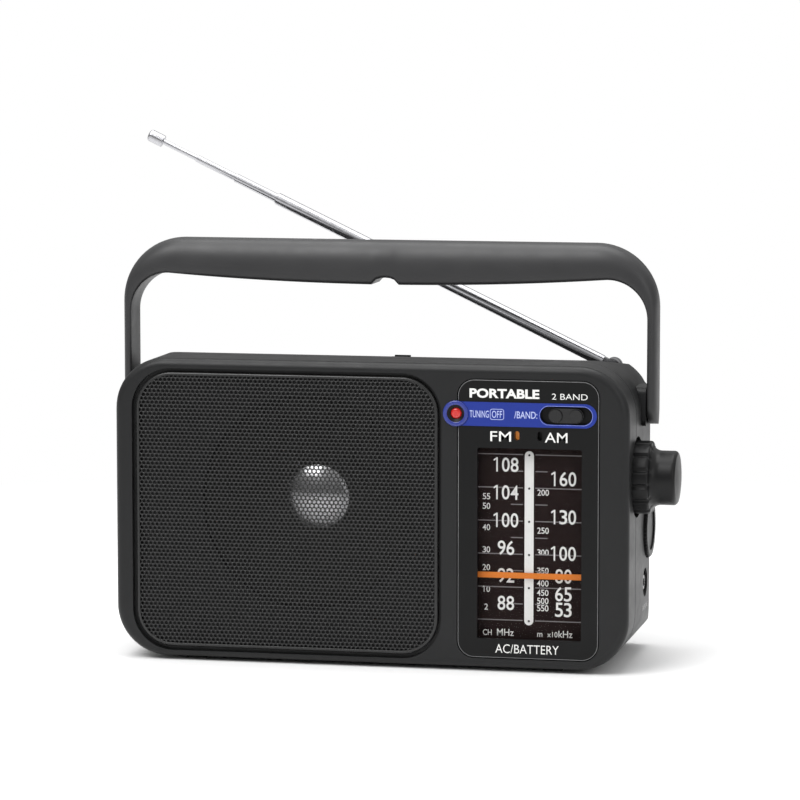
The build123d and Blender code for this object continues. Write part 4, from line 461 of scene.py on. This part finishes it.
def make_grille():
    """The perforated pan, with a plain rounded-over border that covers the pattern's edge."""
    low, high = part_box("speaker_grille")
    bm = bmesh.new()
    perforated_sheet(bm, low, high, low.y + SHEET_SUNK)
    deep, under = high.y - low.y, RIM_LIP + SHEET
    section = [(RIM, under), (RIM, SHEET_SUNK), (RIM - SHEET_SUNK, 0)]
    for i in range(9):
        a = math.radians(90 * i / 8)
        section.append((RIM_ROUND * (1 - math.sin(a)), RIM_ROUND * (1 - math.cos(a))))
    section += [(0, deep), (RIM_WALL, deep), (RIM_WALL, under)]
    loops = []
    for inset, back in section + section[:1]:
        outline = rounded_outline(
            low.x + inset, high.x - inset, low.z + inset, high.z - inset, PAN_CORNER - inset, 16
        )
        loops.append([(x, low.y + back, z) for x, z in outline])
    rings = loft(bm, loops)
    bmesh.ops.remove_doubles(bm, verts=rings[0] + rings[-1], dist=WELD)
    piece = object_from("perforated_grille", bm, GRILLE)
    for face in piece.data.polygons:
        face.use_smooth = abs(face.normal.y) < 0.995
    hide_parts("speaker_grille")
    keep(piece, "cabinet")


make_grille()

# ================= print on the dial, the panel and the strip =================


def glyphs(text, height, wide, weight):
    """A line of lettering as a mesh, its lower left corner at the origin, facing the listener."""
    curve = bpy.data.curves.new("lettering", "FONT")
    curve.body = text
    curve.offset = weight
    curve.extrude = 0.004
    curve.resolution_u = 4
    flat = bpy.data.objects.new("lettering", curve)
    bpy.context.scene.collection.objects.link(flat)
    bpy.context.view_layer.update()
    mesh = bpy.data.meshes.new_from_object(flat.evaluated_get(bpy.context.evaluated_depsgraph_get()))
    bpy.data.objects.remove(flat)
    bpy.data.curves.remove(curve)
    xs = [v.co.x for v in mesh.vertices]
    ys = [v.co.y for v in mesh.vertices]
    tall_by = height / (max(ys) - min(ys))
    wide_by = wide / (max(xs) - min(xs))
    for v in mesh.vertices:
        v.co = ((v.co.x - min(xs)) * wide_by, -v.co.z * tall_by * 0.3, (v.co.y - min(ys)) * tall_by)
    return mesh


def letter(bm, text, x, z, y, height, wide, weight=0.0, centred=False):
    """Adds lettering of a stated width whose lower edge is at z, from x or about it."""
    mesh = glyphs(text, height, wide, weight)
    start = x - wide / 2 if centred else x
    mesh.transform(Matrix.Translation((start, y, z)))
    bm.from_mesh(mesh)
    bpy.data.meshes.remove(mesh)


def loft_solid(bm, outline, y, thick):
    """A thin upright plate of any outline, given as (x, z) points."""
    near = [bm.verts.new((x, y - thick, z)) for x, z in outline]
    far = [bm.verts.new((x, y, z)) for x, z in outline]
    count = len(outline)
    for i in range(count):
        j = (i + 1) % count
        bm.faces.new((near[i], near[j], far[j], far[i]))
    bm.faces.new(near)
    bm.faces.new(far)


def plate(bm, left, right, low, high, y):
    """A thin upright rectangle of ink."""
    loft_solid(bm, [(left, low), (right, low), (right, high), (left, high)], y, INK_THICK)


def disc(x, z, radius, steps=20):
    """Points round an upright circle, as (x, z)."""
    return [
        (x + radius * math.cos(2 * math.pi * i / steps), z + radius * math.sin(2 * math.pi * i / steps))
        for i in range(steps)
    ]


INK_THICK = 0.02 * MM
LENS_LIP = 1.35 * MM
lens_low, lens_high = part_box("dial_lens")
WINDOW_LEFT = lens_low.x + LENS_LIP
WINDOW_RIGHT = lens_high.x - LENS_LIP
WINDOW_LOW = lens_low.z + LENS_LIP
SCALE_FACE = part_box("dial_scale")[0].y

# the scale's own layout, in from the window's left edge and up from its lower edge
BAR_LEFT = WINDOW_LEFT + 19.4 * MM
BAR_RIGHT = WINDOW_LEFT + 23.3 * MM
BAR_LOW = WINDOW_LOW + 5.4 * MM
BAR_HIGH = WINDOW_LOW + 79.6 * MM
BAR_MIDDLE = (BAR_LEFT + BAR_RIGHT) / 2
LINE_STEP = 14.15 * MM
LINE_TOP = WINDOW_LOW + 77.9 * MM
LINE_THICK = 0.42 * MM
LINE_GAP = 0.7 * MM

FM_RIGHT = WINDOW_LEFT + 16.7 * MM
FM_TOP = WINDOW_LOW + 70.6 * MM
FM_STEP = 11.8 * MM
FM_MARKS = ["108", "104", "100", "96", "92", "88"]
DIGIT = 6.1 * MM
AM_RIGHT = WINDOW_LEFT + 41.4 * MM
# the uneven scales: each mark, and its height in millimetres above the window's lower edge
AM_MARKS = [("160", 65.1), ("130", 48.9), ("100", 33.4), ("80", 23.7), ("65", 16.1), ("53", 9.4)]
CH_X = WINDOW_LEFT + 2.9 * MM
CH_MARKS = [("55", 60.0), ("50", 55.9), ("40", 46.8), ("30", 37.3), ("20", 29.7), ("10", 20.4), ("2", 12.8)]
METRE_X = WINDOW_LEFT + 27.2 * MM
METRE_MARKS = [
    ("200", 62.2),
    ("250", 46.0),
    ("300", 36.7),
    ("350", 28.9),
    ("400", 23.5),
    ("450", 19.5),
    ("500", 16.0),
    ("550", 12.9),
]
SMALL_DIGIT = 2.6 * MM
SMALL_ADVANCE = 1.7 * MM
DIGIT_ADVANCE = 3.76 * MM
FIGURE_STROKE = 0.105
UNITS_Z = WINDOW_LOW + 0.6 * MM
SHORT_MARK = 1.7 * MM
HALF_LINE = 5.2 * MM
LINES = 6
STOP_RADIUS = 0.5 * MM
BAR_THICK = 0.08 * MM
PRINT_GAP = 0.01 * MM
# each unit's word, and in millimetres its place from the window's left edge, height and width
UNITS = [
    ("CH", 1.6, 2.5, 3.8),
    ("MHz", 7.7, 2.9, 7.2),
    ("m", 25.0, 1.7, 2.2),
    ("x10", 29.3, 2.3, 4.4),
    ("kHz", 34.1, 2.9, 6.0),
]


def one(bm, left, low, y, tall, thick):
    """A figure one: a stem with a short flag at its upper left."""
    stem = left + 0.22 * tall
    outline = [
        (stem, low),
        (stem + thick, low),
        (stem + thick, low + tall),
        (stem + 0.1 * thick, low + tall),
        (stem - 0.2 * tall, low + 0.845 * tall),
        (stem - 0.165 * tall, low + 0.75 * tall),
        (stem, low + 0.855 * tall),
    ]
    loft_solid(bm, outline, y, INK_THICK)


def figures(bm, mark, right, low, y, tall, advance, weight):
    """Figures of equal width, the last one ending at right."""
    gap = 0.07 * tall
    for i, character in enumerate(reversed(mark)):
        left = right - (i + 1) * advance + gap
        if character == "1":
            one(bm, left, low, y, tall, FIGURE_STROKE * tall)
        else:
            letter(bm, character, left, low, y, tall, advance - gap, weight)


def make_dial_print():
    """Figures, half lines, full lines and the white bar with its stops."""
    ink = SCALE_FACE - PRINT_GAP
    bm = bmesh.new()
    for i, mark in enumerate(FM_MARKS):
        right = FM_RIGHT - (0 if len(mark) == 3 else SHORT_MARK)
        figures(bm, mark, right, FM_TOP - i * FM_STEP, ink, DIGIT, DIGIT_ADVANCE, 0.008)
    for mark, up in AM_MARKS:
        right = AM_RIGHT - (0 if len(mark) == 3 else SHORT_MARK)
        figures(bm, mark, right, WINDOW_LOW + up * MM, ink, DIGIT, DIGIT_ADVANCE, 0.008)
    for marks, x in ((CH_MARKS, CH_X), (METRE_MARKS, METRE_X)):
        for mark, up in marks:
            right = x + len(mark) * SMALL_ADVANCE / 2
            low = WINDOW_LOW + up * MM - SMALL_DIGIT / 2
            figures(bm, mark, right, low, ink, SMALL_DIGIT, SMALL_ADVANCE, 0.004)
    for unit, across, tall, wide in UNITS:
        letter(bm, unit, WINDOW_LEFT + across * MM, UNITS_Z, ink, tall * MM, wide * MM, 0.004)
    keep(object_from("dial_figures", bm, INK), "cabinet")

    bm = bmesh.new()
    half = (BAR_RIGHT - BAR_LEFT) / 2
    ends = [(BAR_HIGH - half, 0), (BAR_LOW + half, 180)]
    outline = []
    for z, start in ends:
        for i in range(13):
            a = math.radians(start + 15 * i)
            outline.append((BAR_MIDDLE + half * math.cos(a), z + half * math.sin(a)))
    loft_solid(bm, outline, ink, BAR_THICK)
    keep(object_from("dial_bar", bm, INK), "cabinet")

    bm = bmesh.new()
    for i in range(LINES):
        stop = disc(BAR_MIDDLE, LINE_TOP - i * LINE_STEP, STOP_RADIUS)
        loft_solid(bm, stop, ink - BAR_THICK, INK_THICK)
    keep(object_from("dial_stops", bm, INK_BLACK), "cabinet")

    bm = bmesh.new()
    left_end, right_end = BAR_LEFT - LINE_GAP, BAR_RIGHT + LINE_GAP
    for i in range(LINES):
        z = LINE_TOP - i * LINE_STEP
        plate(bm, WINDOW_LEFT - 1 * MM, left_end, z, z + LINE_THICK, SCALE_FACE)
        plate(bm, right_end, WINDOW_RIGHT - 0.6 * MM, z, z + LINE_THICK, SCALE_FACE)
        if i < LINES - 1:
            z -= LINE_STEP / 2
            plate(bm, left_end - HALF_LINE, left_end, z, z + LINE_THICK, SCALE_FACE)
            plate(bm, right_end, right_end + HALF_LINE, z, z + LINE_THICK, SCALE_FACE)
    keep(object_from("dial_lines", bm, INK_GREY), "cabinet")


# each word on the panel and the strip, and in millimetres its place from the panel's left edge,
# its lower edge from the strip's middle, its height and its width, and then its weight
PANEL_WORDS = [
    ("PORTABLE", 5.1, 6.8, 4.0, 29.8, 0.035),
    ("2 BAND", 40.2, 6.8, 2.5, 15.2, -0.004),
    ("FM", 14.0, -11.4, 4.2, 8.9, 0.002),
    ("AM", 37.3, -11.4, 4.2, 9.6, 0.002),
]
STRIP_WORDS = [
    ("TUNING", 5.2, -1.5, 3.0, 8.2, 0.004),
    ("OFF", 14.7, -1.5, 3.0, 4.4, 0.004),
    ("/BAND:", 24.3, -1.5, 3.0, 9.8, 0.004),
]
OFF_BOX = (13.9 * MM, 19.9 * MM)
OFF_BOX_HALF = 2.3 * MM
OFF_BOX_CORNER = 1.0 * MM
OFF_BOX_LINE = 0.22 * MM
FACE_GAP = 0.005 * MM


def words(bm, rows, left, level, face):
    """Adds the words of a table, from the panel's left edge and the strip's middle."""
    for text, across, up, tall, wide, weight in rows:
        letter(bm, text, left + across * MM, level + up * MM, face, tall * MM, wide * MM, weight)


def make_panel_print():
    """Generic lettering on the panel and the blue strip."""
    panel_low, panel_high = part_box("dial_panel")
    strip_low, strip_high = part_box("accent_strip")
    face = panel_low.y - FACE_GAP
    left = panel_low.x
    strip_z = (strip_low.z + strip_high.z) / 2
    bm = bmesh.new()
    words(bm, PANEL_WORDS, left, strip_z, face)
    middle = (panel_low.x + panel_high.x) / 2 - 0.2 * MM
    foot = panel_low.z + 2.3 * MM
    letter(bm, "AC/BATTERY", middle, foot, face, 3.8 * MM, 27.2 * MM, -0.004, centred=True)
    keep(object_from("panel_lettering", bm, INK), "cabinet")

    face = strip_low.y - FACE_GAP
    bm = bmesh.new()
    words(bm, STRIP_WORDS, left, strip_z, face)

    def off_box(inset):
        """The frame round the word OFF, drawn in by so much."""
        return rounded_outline(
            left + OFF_BOX[0] + inset,
            left + OFF_BOX[1] - inset,
            strip_z - OFF_BOX_HALF + inset,
            strip_z + OFF_BOX_HALF - inset,
            OFF_BOX_CORNER - inset,
            6,
        )

    outer, inner = off_box(0), off_box(OFF_BOX_LINE)
    front = face - INK_THICK
    around = [(outer, front), (inner, front), (inner, face), (outer, face), (outer, front)]
    loops = [[(x, y, z) for x, z in outline] for outline, y in around]
    rings = loft(bm, loops)
    bmesh.ops.remove_doubles(bm, verts=rings[0] + rings[-1], dist=WELD)
    keep(object_from("strip_lettering", bm, INK_PALE), "cabinet")


# each piece with a word beside it, and in millimetres the word's width and where it stands:
# towards the front from the piece's middle, and up
SIDE_WORDS = [("volume_wheel", "VOLUME", 10.5, 3, 15.5), ("earphone_jack", "EARPHONE", 14, 0, -11.5)]


def make_side_print():
    """Small words beside the volume wheel and the jack, on the right-hand side."""
    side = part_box("front_cabinet")[1].x
    bm = bmesh.new()
    for node, word, wide, forward, above in SIDE_WORDS:
        low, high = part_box(node)
        across = (low.y + high.y) / 2 - forward * MM
        up = (low.z + high.z) / 2 + above * MM
        letter(bm, word, across, up, -side - PRINT_GAP, 2.1 * MM, wide * MM, 0.0, centred=True)
    bmesh.ops.transform(bm, matrix=Matrix.Rotation(math.pi / 2, 4, "Z"), verts=bm.verts)
    keep(object_from("side_lettering", bm, INK_SIDE), "cabinet")


make_dial_print()
make_panel_print()
make_side_print()

# ================= raised lines round the panel, the strip and the switch =================


def raised_line(name, outline, y, width, proud, material):
    """A fine bead along a closed outline of (x, z) points, or (x, z, depth) where it is sunk."""
    bm = bmesh.new()
    count = len(outline)
    loops = []
    for i, (x, z, *sunk) in enumerate(outline):
        before, after = Vector(outline[i - 1][:2]), Vector(outline[(i + 1) % count][:2])
        along = (after - before).normalized()
        out = Vector((along.y, -along.x))
        ring = []
        for k in range(8):
            a = 2 * math.pi * k / 8
            across = out * (width / 2) * math.cos(a)
            ring.append((x + across.x, y + sum(sunk) - max(math.sin(a), -0.2) * proud, z + across.y))
        loops.append(ring)
    loops.append(loops[0])
    rings = loft(bm, loops)
    bmesh.ops.remove_doubles(bm, verts=rings[0] + rings[-1], dist=WELD)
    keep(object_from(name, bm, material, smooth=True), "cabinet")


BEAD = moulded("panel_bead", (0.11, 0.11, 0.112), (0.16, 0.16, 0.162), 0.3, 2000, 0.000004)
# the slot's raised bead is a real moulded line; its blue, paler than the strip's, is a painted highlight on
# its bevel
BLUE_BEAD_PAINTED_HIGHLIGHT = moulded("strip_bead_painted_highlight", (0.13, 0.17, 0.5), (0.17, 0.21, 0.56), 0.25, 2000, 0.000004)
BEAD_STEPS = 16
BEAD_INSET = 0.35 * MM
PANEL_CORNER = 7.2 * MM
DIVE_DEEP = 1.5 * MM
DIVE_SLANT = 0.1 * MM
SLOT_HALF_LONG = 11.3 * MM
SLOT_HALF_TALL = 4.0 * MM


def make_beads():
    """The fine lines round the panel and round the band switch's slot."""
    low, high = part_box("dial_panel")
    outline = rounded_outline(
        low.x + BEAD_INSET,
        high.x - BEAD_INSET,
        low.z + BEAD_INSET,
        high.z - BEAD_INSET,
        PANEL_CORNER - BEAD_INSET,
        BEAD_STEPS,
    )
    # down the left side, after two corners of points, it dives under the lamp's bezel
    lamp_low, lamp_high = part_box("lamp_ring")
    down_left = 2 * (BEAD_STEPS + 1)
    left_x = outline[down_left - 1][0]
    outline[down_left:down_left] = [
        (left_x, lamp_high.z, 0),
        (left_x, lamp_high.z - DIVE_SLANT, DIVE_DEEP),
        (left_x, lamp_low.z + DIVE_SLANT, DIVE_DEEP),
        (left_x, lamp_low.z, 0),
    ]
    raised_line("panel_edge_line", outline, low.y + 0.2 * MM, 0.4 * MM, 0.2 * MM, BEAD)
    strip_low, strip_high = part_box("accent_strip")
    slider_low, slider_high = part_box("band_slider")
    middle = (slider_low.x + slider_high.x) / 2
    strip_z = (strip_low.z + strip_high.z) / 2
    # a slot with round ends, just short of a half circle so that no two points meet
    outline = rounded_outline(
        middle - SLOT_HALF_LONG,
        middle + SLOT_HALF_LONG,
        strip_z - SLOT_HALF_TALL,
        strip_z + SLOT_HALF_TALL,
        SLOT_HALF_TALL - WELD,
        BEAD_STEPS,
    )
    # the slot's bead wears the paler blue of its painted highlight
    raised_line("slot_edge_line", outline, strip_low.y, 0.3 * MM, 0.08 * MM, BLUE_BEAD_PAINTED_HIGHLIGHT)


make_beads()

# ================= lamp and tuning knob =================


def lathe(bm, profile, centre, along, steps, shape=None):
    """Turns a profile of (distance along, radius) about a point; shape may alter each radius."""
    across = Vector((1, 0, 0)) if along.y else Vector((0, 1, 0))
    up = Vector((0, 0, 1))
    loops = []
    for reach, radius in profile:
        loop = []
        for i in range(steps):
            a = 2 * math.pi * i / steps
            r = shape(reach, radius, a) if shape else radius
            loop.append(centre + along * reach + across * (r * math.cos(a)) + up * (r * math.sin(a)))
        loops.append(loop)
    return loft(bm, loops)


BEZEL_RADIUS = 5.5 * MM
BEZEL_HOLE = 3.7 * MM
BEZEL_WALL = 0.4 * MM
BEZEL_PROUD = 0.8 * MM
BEZEL_ROUND = 0.6 * MM
BEZEL_BREAK = 0.08 * MM
BEZEL_DEEP = 4.2 * MM
WELL_RADIUS = 2.45 * MM
WELL_DEEP = 4.0 * MM


def make_lamp_ring():
    """A glossy blue bezel and, inside it, the black well that the lamp stands in."""
    low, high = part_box("lamp_ring")
    centre = Vector(((low.x + high.x) / 2, low.y, (low.z + high.z) / 2))
    back = Vector((0, 1, 0))
    sleeve = BEZEL_HOLE + BEZEL_WALL
    profile = [(BEZEL_DEEP, BEZEL_HOLE), (BEZEL_DEEP, sleeve), (BEZEL_PROUD, sleeve)]
    profile += [(BEZEL_PROUD, BEZEL_RADIUS), (BEZEL_ROUND, BEZEL_RADIUS)]
    for i in range(7):
        a = math.radians(15 * i)
        inset = BEZEL_ROUND * (1 - math.cos(a))
        profile.append((BEZEL_ROUND * (1 - math.sin(a)), BEZEL_RADIUS - inset))
    profile += [(0, sleeve), (BEZEL_BREAK, BEZEL_HOLE + BEZEL_BREAK)]
    profile += [(BEZEL_WALL, BEZEL_HOLE), (BEZEL_DEEP, BEZEL_HOLE)]
    bm = bmesh.new()
    rings = lathe(bm, profile, centre, back, 64)
    bmesh.ops.remove_doubles(bm, verts=rings[0] + rings[-1], dist=WELD)
    bezel = object_from("lamp_bezel", bm, RING, smooth=True)
    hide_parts("lamp_ring")
    keep(bezel, "cabinet")
    profile = [(WELL_DEEP, WELL_RADIUS), (1.3 * MM, WELL_RADIUS), (0.5 * MM, BEZEL_HOLE)]
    profile += [(WELL_DEEP, BEZEL_HOLE), (WELL_DEEP, WELL_RADIUS)]
    bm = bmesh.new()
    rings = lathe(bm, profile, centre, back, 48)
    bmesh.ops.remove_doubles(bm, verts=rings[0] + rings[-1], dist=WELD)
    keep(object_from("lamp_well", bm, PANEL), "cabinet")


KNOB_GROOVES = 14
GROOVE_START = math.radians(8)
GROOVE_HALF = math.radians(4.6)
GROOVE_DEEP = 1.05 * MM
GROOVE_FROM = 2.8 * MM
GROOVE_RAMP = 0.9 * MM
GROOVED_RADIUS = 12.6 * MM
GROOVE_FADE = 2.0 * MM
GROOVE_POWER = 0.7
GROOVE_STEPS = 24
BARREL_END = 10.4 * MM
BARREL_BREAK = 0.9 * MM
FLARE_LONG = 4.0 * MM
CAP_RADIUS = 11.55 * MM
CAP_ROUND = 1.8 * MM
CAP_ROUND_LONG = 1.7 * MM
CROWN = 0.9 * MM
BORE_RADIUS = 3.2 * MM


def grooved(reach, radius, turn):
    """Presses the finger grooves into the big barrel, with rounded inner ends."""
    step = 2 * math.pi / KNOB_GROOVES
    away = abs((turn - GROOVE_START + step / 2) % step - step / 2) / GROOVE_HALF
    if away >= 1 or reach <= GROOVE_FROM or radius < GROOVED_RADIUS:
        return radius
    start = min(1.0, (reach - GROOVE_FROM) / GROOVE_RAMP)
    fade = min(1.0, max(0.0, (radius - GROOVED_RADIUS) / GROOVE_FADE))
    hollow = math.cos(away * math.pi / 2) ** GROOVE_POWER
    return radius - GROOVE_DEEP * hollow * math.sqrt(start * (2 - start)) * fade


def make_knob():
    """The stepped tuning knob: a grooved barrel, a concave flare and a smaller crowned barrel."""
    low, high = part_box("tuning_knob")
    centre = Vector((low.x, (low.y + high.y) / 2, (low.z + high.z) / 2))
    big, long = (high.z - low.z) / 2, high.x - low.x
    profile = [(0, BORE_RADIUS), (0, big - 0.7 * MM), (0.3 * MM, big - 0.15 * MM), (0.6 * MM, big)]
    # stations along the barrel, closer together where the grooves begin
    profile += [(x * MM, big) for x in (1.6, 2.6, 2.9, 3.2, 3.5, 3.9, 4.4, 5.5, 7.0, 8.5, 9.4)]
    profile += [(9.9 * MM, big - 0.12 * MM), (10.25 * MM, big - 0.45 * MM)]
    flare = big - BARREL_BREAK
    profile.append((BARREL_END, flare))
    for i in range(1, 13):
        a = math.radians(90 * i / 12)
        reach = BARREL_END + FLARE_LONG * (1 - math.cos(a))
        profile.append((reach, CAP_RADIUS + (flare - CAP_RADIUS) * (1 - math.sin(a))))
    rounding = long - CROWN - CAP_ROUND_LONG
    profile.append((BARREL_END + FLARE_LONG + 0.6 * MM, CAP_RADIUS))
    profile += [(rounding - 0.6 * MM, CAP_RADIUS), (rounding, CAP_RADIUS)]
    for i in range(1, 9):
        a = math.radians(90 * i / 8)
        reach = rounding + CAP_ROUND_LONG * math.sin(a)
        profile.append((reach, CAP_RADIUS - CAP_ROUND * (1 - math.cos(a))))
    for i in range(1, 10):
        share = i / 10
        profile.append((long - CROWN * (1 - share) ** 2, (CAP_RADIUS - CAP_ROUND) * (1 - share)))
    bm = bmesh.new()
    rings = lathe(bm, profile, centre, Vector((1, 0, 0)), KNOB_GROOVES * GROOVE_STEPS, grooved)
    bm.faces.new(rings[0])
    bm.faces.new(rings[-1])
    knob = object_from("fluted_knob", bm, KNOB, smooth=True)
    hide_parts("tuning_knob")
    keep(knob, "tuning_control")


make_lamp_ring()
make_knob()

# ================= handle =================

GRIP_STATIONS = 48
ARM_STATIONS = 16
CORNER_STATIONS = 18
OUTER_CORNER = 27.0 * MM
INNER_CORNER = 17.0 * MM
ARM_THICK = 4.2 * MM
GRIP_BOW = 3.6 * MM
NOTCH_HALF = 5.7 * MM
NOTCH_DEEP = 3.0 * MM
SECTION_POWER = 2.7
SECTION_EDGE = 0.1
GRIP_THICK = 15.2 * MM
ARM_HALF = 8.0 * MM
FOOT_TIP = 0.35 * MM
CROWN_STEPS = 32
# the flat inside of a section: across from its middle, as a share of half its width, and up from the inside
INSIDE = [(-0.985, 0.07), (-0.93, 0.015), (-0.8, 0), (-0.4, 0), (0, 0), (0.4, 0), (0.8, 0), (0.93, 0.015)]
INSIDE.append((0.985, 0.07))


def handle_section(inner, outer, y_middle, half_wide):
    """A ring round the bow: crowned on the outside, nearly flat on the inside."""
    ring = []
    reach = outer - inner
    for k in range(CROWN_STEPS + 1):
        t = math.pi * k / CROWN_STEPS
        across = math.copysign(abs(math.cos(t)) ** (2 / SECTION_POWER), math.cos(t))
        up = SECTION_EDGE + (1 - SECTION_EDGE) * abs(math.sin(t)) ** (2 / SECTION_POWER)
        point = inner + reach * up
        ring.append((point.x, y_middle - across * half_wide, point.y))
    for across, up in INSIDE:
        point = inner + reach * up
        ring.append((point.x, y_middle - across * half_wide, point.y))
    return ring


def make_handle():
    """The swing-over bow: two flat arms with round feet, wide corners and a crowned grip."""
    low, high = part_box("handle")
    middle_x = (low.x + high.x) / 2
    middle_y = (low.y + high.y) / 2
    grip_half = (high.y - low.y) / 2
    half = (high.x - low.x) / 2
    top, foot = high.z, low.z
    pivot = foot + ARM_HALF
    bow_corner = top - GRIP_THICK
    stations = []

    def add(outer, inner, wide):
        """One station: its outside and inside points as (x, z), and half its width."""
        stations.append((Vector(outer), Vector(inner), wide))

    for i in range(ARM_STATIONS + 1):
        a = math.radians(90 * i / ARM_STATIONS)
        z = foot + ARM_HALF * (1 - math.cos(a))
        add((half, z), (half - ARM_THICK, z), max(ARM_HALF * math.sin(a), FOOT_TIP))
    straight_end = top - OUTER_CORNER
    inside_end = bow_corner - INNER_CORNER
    for i in range(1, 10):
        share = i / 9
        z = pivot + (straight_end - pivot) * share
        add((half, z), (half - ARM_THICK, pivot + (inside_end - pivot) * share), ARM_HALF)
    for i in range(1, CORNER_STATIONS + 1):
        share = i / CORNER_STATIONS
        a = math.radians(90 * share)
        outer = (
            half - OUTER_CORNER * (1 - math.cos(a)),
            top - OUTER_CORNER * (1 - math.sin(a)),
        )
        inner = (
            half - ARM_THICK - INNER_CORNER * (1 - math.cos(a)),
            inside_end + INNER_CORNER * math.sin(a),
        )
        ease = share * share * (3 - 2 * share)
        add(outer, inner, ARM_HALF + (grip_half - ARM_HALF) * ease)
    start = half - OUTER_CORNER
    inner_start = stations[-1][1].x
    for i in range(1, GRIP_STATIONS + 1):
        share = i / GRIP_STATIONS
        x = start * (1 - share)
        inner_x = inner_start * (1 - share)
        underside = bow_corner - GRIP_BOW * (1 - (1 - share) ** 2)
        near = abs(inner_x) / NOTCH_HALF
        if near < 1:
            underside += NOTCH_DEEP * math.sqrt(1 - near**2)
        add((x, top), (inner_x, underside), grip_half)
    rings = []
    for outer, inner, wide in stations:
        rings.append(handle_section(inner, outer, middle_y, wide))
    mirrored = []
    for ring in reversed(rings[:-1]):
        mirrored.append([(-x, y, z) for x, y, z in ring])
    bm = bmesh.new()
    placed = [[(x + middle_x, y, z) for x, y, z in ring] for ring in rings + mirrored]
    made = loft(bm, placed)
    bm.faces.new(made[0])
    bm.faces.new(made[-1])
    piece = object_from("carrying_bow", bm, HANDLE, smooth=True)
    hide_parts("handle")
    keep(piece, "carrying_handle")


make_handle()

# ================= studio =================

SIDE_LIGHT = 0.22
TOP_LIGHT = 1.0
FLOOR_REACH = 40.0
WHITE_FROM = 0.22
WHITE_ALL = 0.6
CAMERA_TURN = math.radians(12)
CAMERA_LIFT = math.radians(6.29)
CAMERA_AWAY = 1.669
CAMERA_LENS = 177.9
AIM_RIGHT = 13.7 * MM
AIM_HIGH = 113.3 * MM


def area_light(name, place, target, size, power):
    """A square soft light that faces a target."""
    data = bpy.data.lights.new(name, "AREA")
    data.shape = "RECTANGLE"
    data.size = size
    data.size_y = size
    data.energy = power
    light = bpy.data.objects.new(name, data)
    light.location = place
    way = Vector(target) - Vector(place)
    light.rotation_euler = way.to_track_quat("-Z", "Y").to_euler()
    bpy.context.scene.collection.objects.link(light)


def make_surround():
    """White seen directly; as light, bright overhead and dim at the sides."""
    world = bpy.data.worlds.new("studio")
    world.use_nodes = True
    tree = world.node_tree
    back = tree.nodes["Background"]
    back.inputs["Color"].default_value = (1, 1, 1, 1)
    way = tree.nodes.new("ShaderNodeTexCoord")
    split = tree.nodes.new("ShaderNodeSeparateXYZ")
    tree.links.new(way.outputs["Generated"], split.inputs[0])
    upward = tree.nodes.new("ShaderNodeMapRange")
    upward.inputs["From Min"].default_value = 0.1
    upward.inputs["From Max"].default_value = 0.8
    upward.inputs["To Min"].default_value = SIDE_LIGHT
    upward.inputs["To Max"].default_value = TOP_LIGHT
    tree.links.new(split.outputs["Z"], upward.inputs["Value"])
    path = tree.nodes.new("ShaderNodeLightPath")
    mix = tree.nodes.new("ShaderNodeMix")
    tree.links.new(path.outputs["Is Camera Ray"], mix.inputs[0])
    tree.links.new(upward.outputs["Result"], mix.inputs[2])
    mix.inputs[3].default_value = 1.0
    tree.links.new(mix.outputs[0], back.inputs["Strength"])
    bpy.context.scene.world = world


def fade_to_white(material, shader, place):
    """Away from the middle the paper turns to plain white light, so that it has no far edge."""
    tree = material.node_tree
    distance = tree.nodes.new("ShaderNodeVectorMath")
    distance.operation = "LENGTH"
    link(material, place, distance.inputs[0])
    white = tree.nodes.new("ShaderNodeEmission")
    mix = tree.nodes.new("ShaderNodeMixShader")
    share = ramp(material, distance.outputs["Value"], WHITE_FROM, WHITE_ALL, 0.0, 1.0)
    link(material, share, mix.inputs[0])
    link(material, shader.outputs[0], mix.inputs[1])
    link(material, white.outputs[0], mix.inputs[2])
    link(material, mix.outputs[0], tree.nodes["Material Output"].inputs["Surface"])


def make_studio():
    """A pale floor that fades into a white surround, and soft lights."""
    bm = bmesh.new()
    far = FLOOR_REACH
    loft(bm, [[(-far, -far, 0), (-far, far, 0)], [(far, -far, 0), (far, far, 0)]], closed=False)
    material, shader, place = new_material("floor_paper")
    shade = noise(material, place, 3, 2.0)
    base_colour(material, shader, shade, (0.86, 0.86, 0.86), (0.9, 0.9, 0.9))
    shader.inputs["Roughness"].default_value = 0.7
    fade_to_white(material, shader, place)
    floor = object_from("floor", bm, material)
    make_surround()
    centre = (0, 0, 0.1)
    area_light("key", (-0.5, -0.9, 1.3), centre, 0.9, 16)
    area_light("fill", (1.3, -0.9, 0.6), centre, 0.8, 3)
    area_light("top", (0.0, 0.1, 1.2), centre, 0.9, 9)


def make_camera():
    """The viewing angle: 12 degrees to the right of straight on, 6.3 degrees above level."""
    low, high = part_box("front_cabinet")
    aim = Vector(((low.x + high.x) / 2 + AIM_RIGHT, low.y, low.z + AIM_HIGH))
    level = math.cos(CAMERA_LIFT)
    way = Vector((math.sin(CAMERA_TURN) * level, -math.cos(CAMERA_TURN) * level, math.sin(CAMERA_LIFT)))
    data = bpy.data.cameras.new("camera")
    data.lens = CAMERA_LENS
    data.sensor_width = 36
    camera = bpy.data.objects.new("camera", data)
    camera.location = aim + way * CAMERA_AWAY
    camera.rotation_euler = (-way).to_track_quat("-Z", "Y").to_euler()
    bpy.context.scene.collection.objects.link(camera)
    bpy.context.scene.camera = camera


make_studio()
make_camera()
bpy.context.scene.view_settings.view_transform = "Standard"
